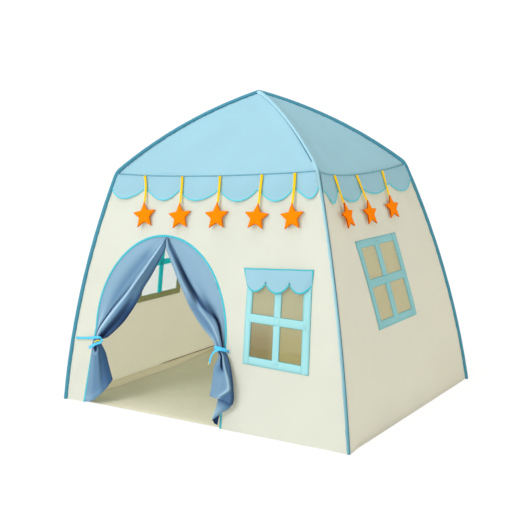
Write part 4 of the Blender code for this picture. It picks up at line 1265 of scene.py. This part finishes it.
def curtain_rows(sewn, crease, free, side):
    """Cross lines from the crown to the tie, each a run of (x, z, out, painted shade)."""
    rows = []
    for k, (s, c, f) in enumerate(zip(*(spline(line, 100) for line in (sewn, crease, free)))):
        t = k / 100
        grow = 0.15 + 0.85 * smooth(0, 0.4, t) * (1 - 0.45 * smooth(0.75, 1, t))
        lift = 0.004 + 0.018 * grow
        late, near = smooth(0.5, 0.72, t), smooth(0.62, 1, t)
        controls = []
        for u, above, below in zip(PLACES, UPPER[side], LOWER[side]):
            flat = c.lerp(f, u) if u > 0 else c.lerp(s, -u)
            sewn_share = smooth(-0.8, -1, u)
            out = (above + (below - above) * late) * lift * (1 - sewn_share) - 0.0014 * sewn_share
            controls.append(Vector((flat.x, flat.y, out + 0.003 * near * sin(9 * u))))
        controls.append(Vector((*c.lerp(f, 0.95), controls[-1].z - 0.003)))
        row = []
        for p in spline(controls, 84):
            flat = p.xy - c
            u = flat.dot(f - c) / (f - c).length_squared
            if u < 0:
                u = -min(flat.dot(s - c) / max((s - c).length_squared, 1e-9), 1)
            # Painted light on the crests of the gathered waves near the tie and painted shade in their hollows
            painted_shade = fold_shade(side, u, t) - 0.16 * near * sin(9 * u)
            row.append((p.x, p.y, p.z, min(max(painted_shade, 0), 1)))
        rows.append(row)
    return rows


def tail_rows(start, side_line, free_line, hem, shape):
    """Cross lines below the tie: from the tie's own cross line to the hem."""
    wide, steps = len(start), 50
    sides, frees, hem_line = spline(side_line, steps), spline(free_line, steps), spline(hem, wide - 1)
    rows = []
    for k in range(1, steps + 1):
        t = k / steps
        early = 1 - smooth(0, 0.16, t)
        row = []
        for j in range(wide):
            s = j / (wide - 1)
            flat = sides[k].lerp(frees[k], s)
            flat = flat + (hem_line[j] - sides[-1].lerp(frees[-1], s)) * smooth(0.25, 1, t)
            out, painted_shade = shape(s, t)
            # The tail's painted shade, blended into a set painted shade just under the tie
            painted_shade = (0.2 + 0.75 * painted_shade) * (1 - early) + 0.65 * early
            row.append((flat.x, flat.y, out * (1 - early) + start[j][2] * early, min(max(painted_shade, 0), 1)))
        rows.append(row)
    return rows


def left_tail_out(s, t):
    """The left tail's stand-out and painted shade: lighter by the door edge, a dimple under the tie painted
    dark with a lighter lip, then cloth that turns inward, painted darker.
    """
    turn = 0.009 * sin(pi * s) - 0.032 * smooth(0.15, 1.1, s) * smooth(0, 0.5, t)
    ring = hypot((s - 0.37) / 0.17, (t - 0.17) / 0.09)
    cup = bell(ring, 0, 0.75)
    lip = bell(ring, 1.1, 0.3) * smooth(0.14, 0.2, t)
    valley = bell(s, 0.62, 0.09) * (1 - 0.45 * t)
    out = turn - 0.009 * cup + 0.004 * lip - 0.002 * valley + 0.002 * bell(s, 0.5, 0.09) * (1 - 0.5 * t)
    out += 0.003 * wobble(s * 3, t * 2, 5) + 0.006 * smooth(0.75, 1, t) * sin(pi * s)
    painted_shade = 0.27 + 0.2 * smooth(0.1, 0.3, s) + 0.2 * smooth(0.45, 1, s) + 0.95 * cup - 0.5 * lip + 0.15 * valley
    painted_shade += 0.14 * smooth(0.45, 0.9, s) + 0.4 * smooth(0.965, 1, s) - 0.2 * bell(t, 0.93, 0.05) * (1 - s)
    return out, painted_shade


def right_tail_out(s, t):
    """The right tail stands in front of the wall; s runs from its right edge to its left edge. It gives how far
    out each place stands and its painted shade: dark in the hollow and at the edge, light on the ridge.
    """
    stand = 0.010 + 0.018 * smooth(0, 0.6, t)
    body = 0.012 * sin(pi * min(max(s / 0.95, 0), 1))
    place = 0.58 - 0.36 * smooth(0.05, 0.72, t) + 0.42 * smooth(0.72, 1, t)
    ridge_up = bell(s, place, 0.08) * (1 - 0.5 * smooth(0.9, 1, t))
    hollow = bell(s, place + 0.15, 0.075) * (1 - smooth(0.32, 0.52, t)) * smooth(0, 0.08, t)
    edge = 1 - smooth(0, 0.16, s)
    out = stand + body + 0.010 * ridge_up - 0.016 * hollow - 0.008 * edge + 0.002 * wobble(s * 4, t * 3, 9)
    painted_shade = 0.27 + 1.0 * hollow - 0.45 * ridge_up + 0.38 * (1 - smooth(place - 0.14, place, s)) + 0.3 * edge
    painted_shade += 0.28 * bell(s, 0.68, 0.2) * bell(t, 0.42, 0.1)
    painted_shade += 0.5 * bell(s, 0.85, 0.16) * bell(t, 0.06, 0.06)
    return out, painted_shade


def cloth_rows(name, rows, replaces):
    """A curtain from its cross lines."""
    points = [on_wall(x, z, out) for row in rows for x, z, out, _ in row]
    wide = len(rows[0])
    uvs = [(c * 0.0045, r * 0.006) for r in range(len(rows)) for c in range(wide)]
    # The painted fold shade of each place
    shade = [painted_shade for row in rows for *_, painted_shade in row]
    return build(name, points, grid_faces(wide - 1, len(rows) - 1), uvs, CURTAIN, replaces=replaces,
                 slot="curtain_cloth", shade=shade)


def on_wall(x, z, out):
    """As seen, but kept above the ground."""
    p = seen(x, max(z, 0.0015), out)
    p.z = max(p.z, 0.0012)
    return p


# Each curtain in the (x, z) of the front wall: its crease and free edge down to the tie, then the tail's lines
LEFT_CREASE = [
    (-0.1672, 0.653), (-0.179, 0.638), (-0.2105, 0.597), (-0.241, 0.559), (-0.2805, 0.509), (-0.3475, 0.431),
    (-0.407, 0.369), (-0.468, 0.298), (-0.486, 0.262)]
LEFT_FREE = [
    (-0.1635, 0.6525), (-0.1645, 0.63), (-0.166, 0.606), (-0.1808, 0.5763), (-0.1972, 0.5501),
    (-0.2194, 0.5124), (-0.2538, 0.4626), (-0.2747, 0.4206), (-0.2923, 0.3933), (-0.3196, 0.3576),
    (-0.3478, 0.3253), (-0.3867, 0.2916), (-0.4217, 0.2654), (-0.452, 0.254)]
LEFT_SIDE = [(-0.496, 0.254), (-0.503, 0.235), (-0.509, 0.17), (-0.518, 0.1), (-0.528, 0.05), (-0.536, 0.002)]
LEFT_LOOSE = [
    (-0.452, 0.254), (-0.455, 0.238), (-0.429, 0.205), (-0.412, 0.165), (-0.397, 0.13), (-0.387, 0.108)]
LEFT_HEM = [(-0.536, 0.002), (-0.51, 0.006), (-0.482, 0.019), (-0.435, 0.055), (-0.405, 0.085), (-0.387, 0.108)]
RIGHT_CREASE = [
    (-0.156, 0.65), (-0.112, 0.597), (-0.068, 0.5385), (-0.032, 0.494), (0.004, 0.4545), (0.034, 0.42),
    (0.07, 0.392), (0.1, 0.36), (0.128, 0.283)]
RIGHT_FREE = [
    (-0.167, 0.6515), (-0.1655, 0.63), (-0.162, 0.608), (-0.1462, 0.5852), (-0.1271, 0.5536), (-0.1097, 0.5259),
    (-0.0871, 0.4914), (-0.0599, 0.454), (-0.0382, 0.4201), (-0.0125, 0.3903), (0.0176, 0.3577),
    (0.0467, 0.3323), (0.0847, 0.3011), (0.098, 0.276)]
RIGHT_SIDE = [
    (0.136, 0.275), (0.149, 0.262), (0.165, 0.23), (0.176, 0.19), (0.184, 0.14), (0.187, 0.114), (0.182, 0.092)]
RIGHT_LOOSE = [
    (0.098, 0.276), (0.113, 0.255), (0.106, 0.235), (0.095, 0.212), (0.09, 0.17), (0.085, 0.13), (0.081, 0.108)]
RIGHT_HEM = [(0.182, 0.092), (0.166, 0.095), (0.15, 0.1), (0.13, 0.103), (0.108, 0.1035), (0.081, 0.108)]

left_rows = curtain_rows(sewn_line(-1, 0.254), LEFT_CREASE, LEFT_FREE, -1)
left_rows += tail_rows(left_rows[-1], LEFT_SIDE, LEFT_LOOSE, LEFT_HEM, left_tail_out)
left = cloth_rows("curtain_cloth_left", left_rows, ["curtain_left"])

right_rows = curtain_rows(sewn_line(1, 0.275), RIGHT_CREASE, RIGHT_FREE, 1)
right_rows += tail_rows(right_rows[-1], RIGHT_SIDE, RIGHT_LOOSE, RIGHT_HEM, right_tail_out)
right = cloth_rows("curtain_cloth_right", right_rows, ["curtain_right"])


def fold_piece(edges, outs, painted_shades):
    """A turned corner of curtain cloth between two lines of (x, z), with painted shade across it, darker at its
    top.
    """
    points, uvs, shade = [], [], []
    a, b = (spline(line, 200) for line in edges)
    for k in range(17):
        i = round(12.5 * k)
        for j in range(17):
            s = j / 16
            flat = a[i].lerp(b[i], s)
            points.append(on_wall(flat.x, flat.y, outs[0] + (outs[1] - outs[0]) * s + outs[2] * sin(pi * s)))
            uvs.append((j * 0.004, k * 0.004))
            shade.append(painted_shades[0] + (painted_shades[1] - painted_shades[0]) * s + painted_shades[2] * (1 - k / 16) ** 3)
    return points, grid_faces(16, 16), uvs, shade


OUTER_FOLD = ([(0.118, 0.104), (0.11, 0.07), (0.099, 0.045), (0.094, 0.027)],
              [(0.184, 0.098), (0.165, 0.075), (0.13, 0.052), (0.102, 0.03), (0.094, 0.024)])
INNER_FOLD = ([(0.094, 0.03), (0.1, 0.022), (0.106, 0.014)],
              [(0.13, 0.055), (0.124, 0.035), (0.12, 0.012)])
outer = fold_piece(OUTER_FOLD, (0.030, 0.022, 0.010), (0.1, 0.3, 0.7))
# The inner turn is painted fully dark, as shade
inner = fold_piece(INNER_FOLD, (0.026, 0.014, -0.006), (1, 1, 0))
build("curtain_corner_right", *join([outer[:3], inner[:3]]), CURTAIN, slot="curtain_cloth",
      shade=[min(d, 1) for d in outer[3] + inner[3]])


# Ribbons that tie the curtains

def ribbon(controls, width, steps=60, twist_by=0.0):
    """A soft satin ribbon through (x, z, out) places."""
    path = [seen(*p) for p in spline(controls, steps)]
    outs = [FRONT.slope(p.z) for p in path]
    sides = frames_of(path, outs)
    if twist_by:
        for k in range(len(path)):
            along = path[min(k + 1, steps)] - path[max(k - 1, 0)]
            turn = Matrix.Rotation(twist_by * sin(pi * k / steps), 3, along.normalized())
            sides[k], outs[k] = turn @ sides[k], turn @ outs[k]
    return sweep(path, sides, outs, tape_section(width, 0.0011, 2))


left_band = ribbon([
    (-0.594, 0.2445, 0.003), (-0.56, 0.2475, 0.004), (-0.52, 0.252, 0.006), (-0.497, 0.256, 0.013),
    (-0.478, 0.259, 0.021), (-0.460, 0.258, 0.017), (-0.4515, 0.252, 0.002), (-0.453, 0.248, -0.012),
    (-0.48, 0.246, -0.02), (-0.50, 0.246, -0.008)], 0.0105)
left_end = ribbon([
    (-0.453, 0.256, 0.019), (-0.459, 0.243, 0.0225), (-0.478, 0.236, 0.023), (-0.498, 0.2265, 0.020),
    (-0.512, 0.2185, 0.016), (-0.52, 0.213, 0.013)], 0.0125, twist_by=0.3)
build("ribbon_left", *join([left_band, left_end]), RIBBON, replaces=["tieback_left"], slot="ribbon")
left_lining = ribbon([
    (-0.494, 0.2385, 0.0245), (-0.484, 0.2435, 0.0265), (-0.474, 0.2475, 0.0265),
    (-0.464, 0.2475, 0.0245)], 0.0046)
left_under = ribbon([(-0.592, 0.2395, 0.0036), (-0.56, 0.242, 0.0046), (-0.52, 0.246, 0.0066)], 0.0012)
build("ribbon_left_print", *join([left_lining, left_under]), YELLOW)

right_band = ribbon([
    (0.092, 0.2795, 0.014), (0.105, 0.2785, 0.024), (0.122, 0.277, 0.0245), (0.14, 0.2745, 0.019),
    (0.1525, 0.2715, 0.007), (0.15, 0.270, -0.004), (0.13, 0.2705, -0.012), (0.105, 0.274, -0.008),
    (0.094, 0.277, 0.004)], 0.0125)
right_end = ribbon([
    (0.126, 0.2765, 0.0265), (0.108, 0.272, 0.030), (0.091, 0.262, 0.031), (0.0815, 0.248, 0.030),
    (0.0765, 0.233, 0.028), (0.0735, 0.2205, 0.026)], 0.0085, twist_by=0.35)
build("ribbon_right", *join([right_band, right_end]), RIBBON, replaces=["tieback_right"], slot="ribbon")
build("ribbon_right_print", *ribbon([(0.0705, 0.2245, 0.0285), (0.0695, 0.2165, 0.0275)], 0.0042, 8), YELLOW)


# Groundsheet

FLOOR_WIDE, FLOOR_DEEP = 0.632, 0.492


def floor_point(u, v):
    """A place on the groundsheet, from -1 to 1 both ways; its edges turn up a little at the walls."""
    x, y = u * FLOOR_WIDE, v * FLOOR_DEEP
    x -= 0.012 * np.sign(u) * smooth(0.97, 1, abs(u)) * smooth(0.9, 1, abs(v))
    y -= 0.012 * np.sign(v) * smooth(0.97, 1, abs(v)) * smooth(0.9, 1, abs(u))
    free = smooth(1, 0.93, abs(u)) * smooth(1, 0.93, v) * smooth(1, 0.96, -v)
    lip = 0.013 * smooth(0.955, 1.0, abs(u)) * smooth(-0.97, -0.8, v) * (1 + 0.3 * wobble(y * 9, 4))
    if u < 0:
        lip *= 0.45
        x -= 0.005 * smooth(0.93, 1.0, -u)
    lip = max(lip, 0.011 * smooth(0.95, 1.0, v) * (0.3 + 0.7 * smooth(-1, -0.8, u)))
    high = 0.0016 + lip + free * (0.003 + 0.0028 * wobble(x * 6, y * 6, 3) + 0.0014 * wobble(x * 17, y * 13, 8))
    x -= np.sign(u) * 0.34 * lip
    y -= np.sign(v) * 0.3 * lip * smooth(0.9, 1, abs(v))
    return Vector((float(x), float(y), max(high, 0.0008))), (x, y)


def margin_point(t, v):
    """A place on the left wall's own margin, folded in on the floor."""
    wide = 0.012 + 0.058 * smooth(-1.02, -0.55, v) * smooth(0.98, 0.1, v) + 0.006 * wobble(v * 4, 9)
    spot, uv = floor_point(-0.992 + t * wide / FLOOR_WIDE, v)
    return spot + UP * (0.0012 + 0.002 * sin(pi * t)), uv


shares = mirrored(spread(0.008, 0.022, 0.08))
sheet = build("cloth_floor", *grid(floor_point, shares, shares), FLOOR, replaces=["floor_sheet"],
              slot="floor_cloth")
# The left wall's margin, folded in on the floor, in the copy painted lighter
build("cloth_margin_left", *grid(margin_point, np.linspace(0, 1, 12), np.linspace(-0.96, 0.94, 90)), MARGIN)


def make_floor_seam(side, end, low, high, wave, out, thin):
    """The sewn line between a wall and the groundsheet, from the wall's left to a share of its half width."""
    face, along = FACES[side], np.linspace(-0.985, end, 120)
    path = [face.at(s * face.edge(low), high + wave * wobble(s * 6, 1), out) for s in along]
    strip("seam_floor_" + side, path, [-face.slope(0.012)] * len(path), tape_section(0.0026, 0.0012), BROWN,
          sizes=[thin(s) for s in along], spin=face.spin)


for seam_side in ("right", "back"):
    make_floor_seam(seam_side, 0.985, 0.009, 0.0095, 0.0015, -0.0022,
                    lambda s: 0.35 + 0.65 * smooth(0.1, -0.2, s))
make_floor_seam("left", -0.1, 0.008, 0.0096, 0.001, -0.0035, lambda s: 0.1 + 1.1 * smooth(-0.1, -0.22, s))


# Floor, backdrop and light

def make_studio_floor():
    """A pale floor that fades to white."""
    n = Nodes("studio_floor")
    far = n.add("VectorMath", {0: n.object_place()}, operation="LENGTH").outputs["Value"]
    fade = n.add("MapRange", {"Value": far, "From Min": 0.9, "From Max": 2.4, "To Min": 0.84, "To Max": 1.0})
    fade = n.math("MULTIPLY", n.add("LightPath").outputs["Is Camera Ray"], fade.outputs[0])
    paint = n.principled((0.94, 0.94, 0.94, 1), 0.9, Specular_IOR_Level=0.0)
    n.finish(n.blend(fade, paint, n.add("Emission", {"Color": (1, 1, 1, 1), "Strength": 1.06})))
    mesh = bpy.data.meshes.new("studio_floor")
    corners = [(14 * x, 14 * y, 0) for x, y in ((-1, -1), (1, -1), (1, 1), (-1, 1))]
    mesh.from_pydata(corners, [], [(0, 1, 2, 3)])
    mesh.materials.append(n.owner)
    floor = bpy.data.objects.new("studio_floor", mesh)
    bpy.context.scene.collection.objects.link(floor)


def make_world():
    """A surround that the camera sees as white and that lights the tent softly."""
    n = Nodes("studio", bpy.data.worlds.new("studio"), "World")
    soft = n.add("Background", {"Color": (1.0, 0.99, 0.97, 1), "Strength": 0.6})
    white = n.add("Background", {"Color": (1, 1, 1, 1), "Strength": 1.05})
    n.finish(n.blend(n.add("LightPath").outputs["Is Camera Ray"], soft, white))
    bpy.context.scene.world = n.owner


def make_lamp(name, place, aim, size, power, colour):
    """A round soft lamp; size in metres, power in watts."""
    data = bpy.data.lights.new(name, "AREA")
    data.shape, data.size, data.energy, data.color = "DISK", size, power, colour
    lamp = bpy.data.objects.new(name, data)
    lamp.location = place
    lamp.rotation_euler = (Vector(aim) - Vector(place)).to_track_quat("-Z", "Y").to_euler()
    bpy.context.scene.collection.objects.link(lamp)


make_studio_floor()
make_world()
make_lamp("key", (-3.0, -9.4, 5.6), (0.1, 0, 0.45), 4.9, 436, (1.0, 0.99, 0.975))
make_lamp("fill", (1.2, -8.9, 3.4), (0.1, 0, 0.45), 4.0, 90, (1.0, 0.995, 0.97))
make_lamp("top", (-0.5, -1.0, 4.2), (0, 0, 0.8), 2.6, 46, (1, 1, 1))
make_lamp("side", (4.0, 0.4, 0.7), (0.4, 0, 0.4), 1.8, 33, (1.0, 0.76, 0.54))
bpy.context.scene.view_settings.view_transform = "Standard"
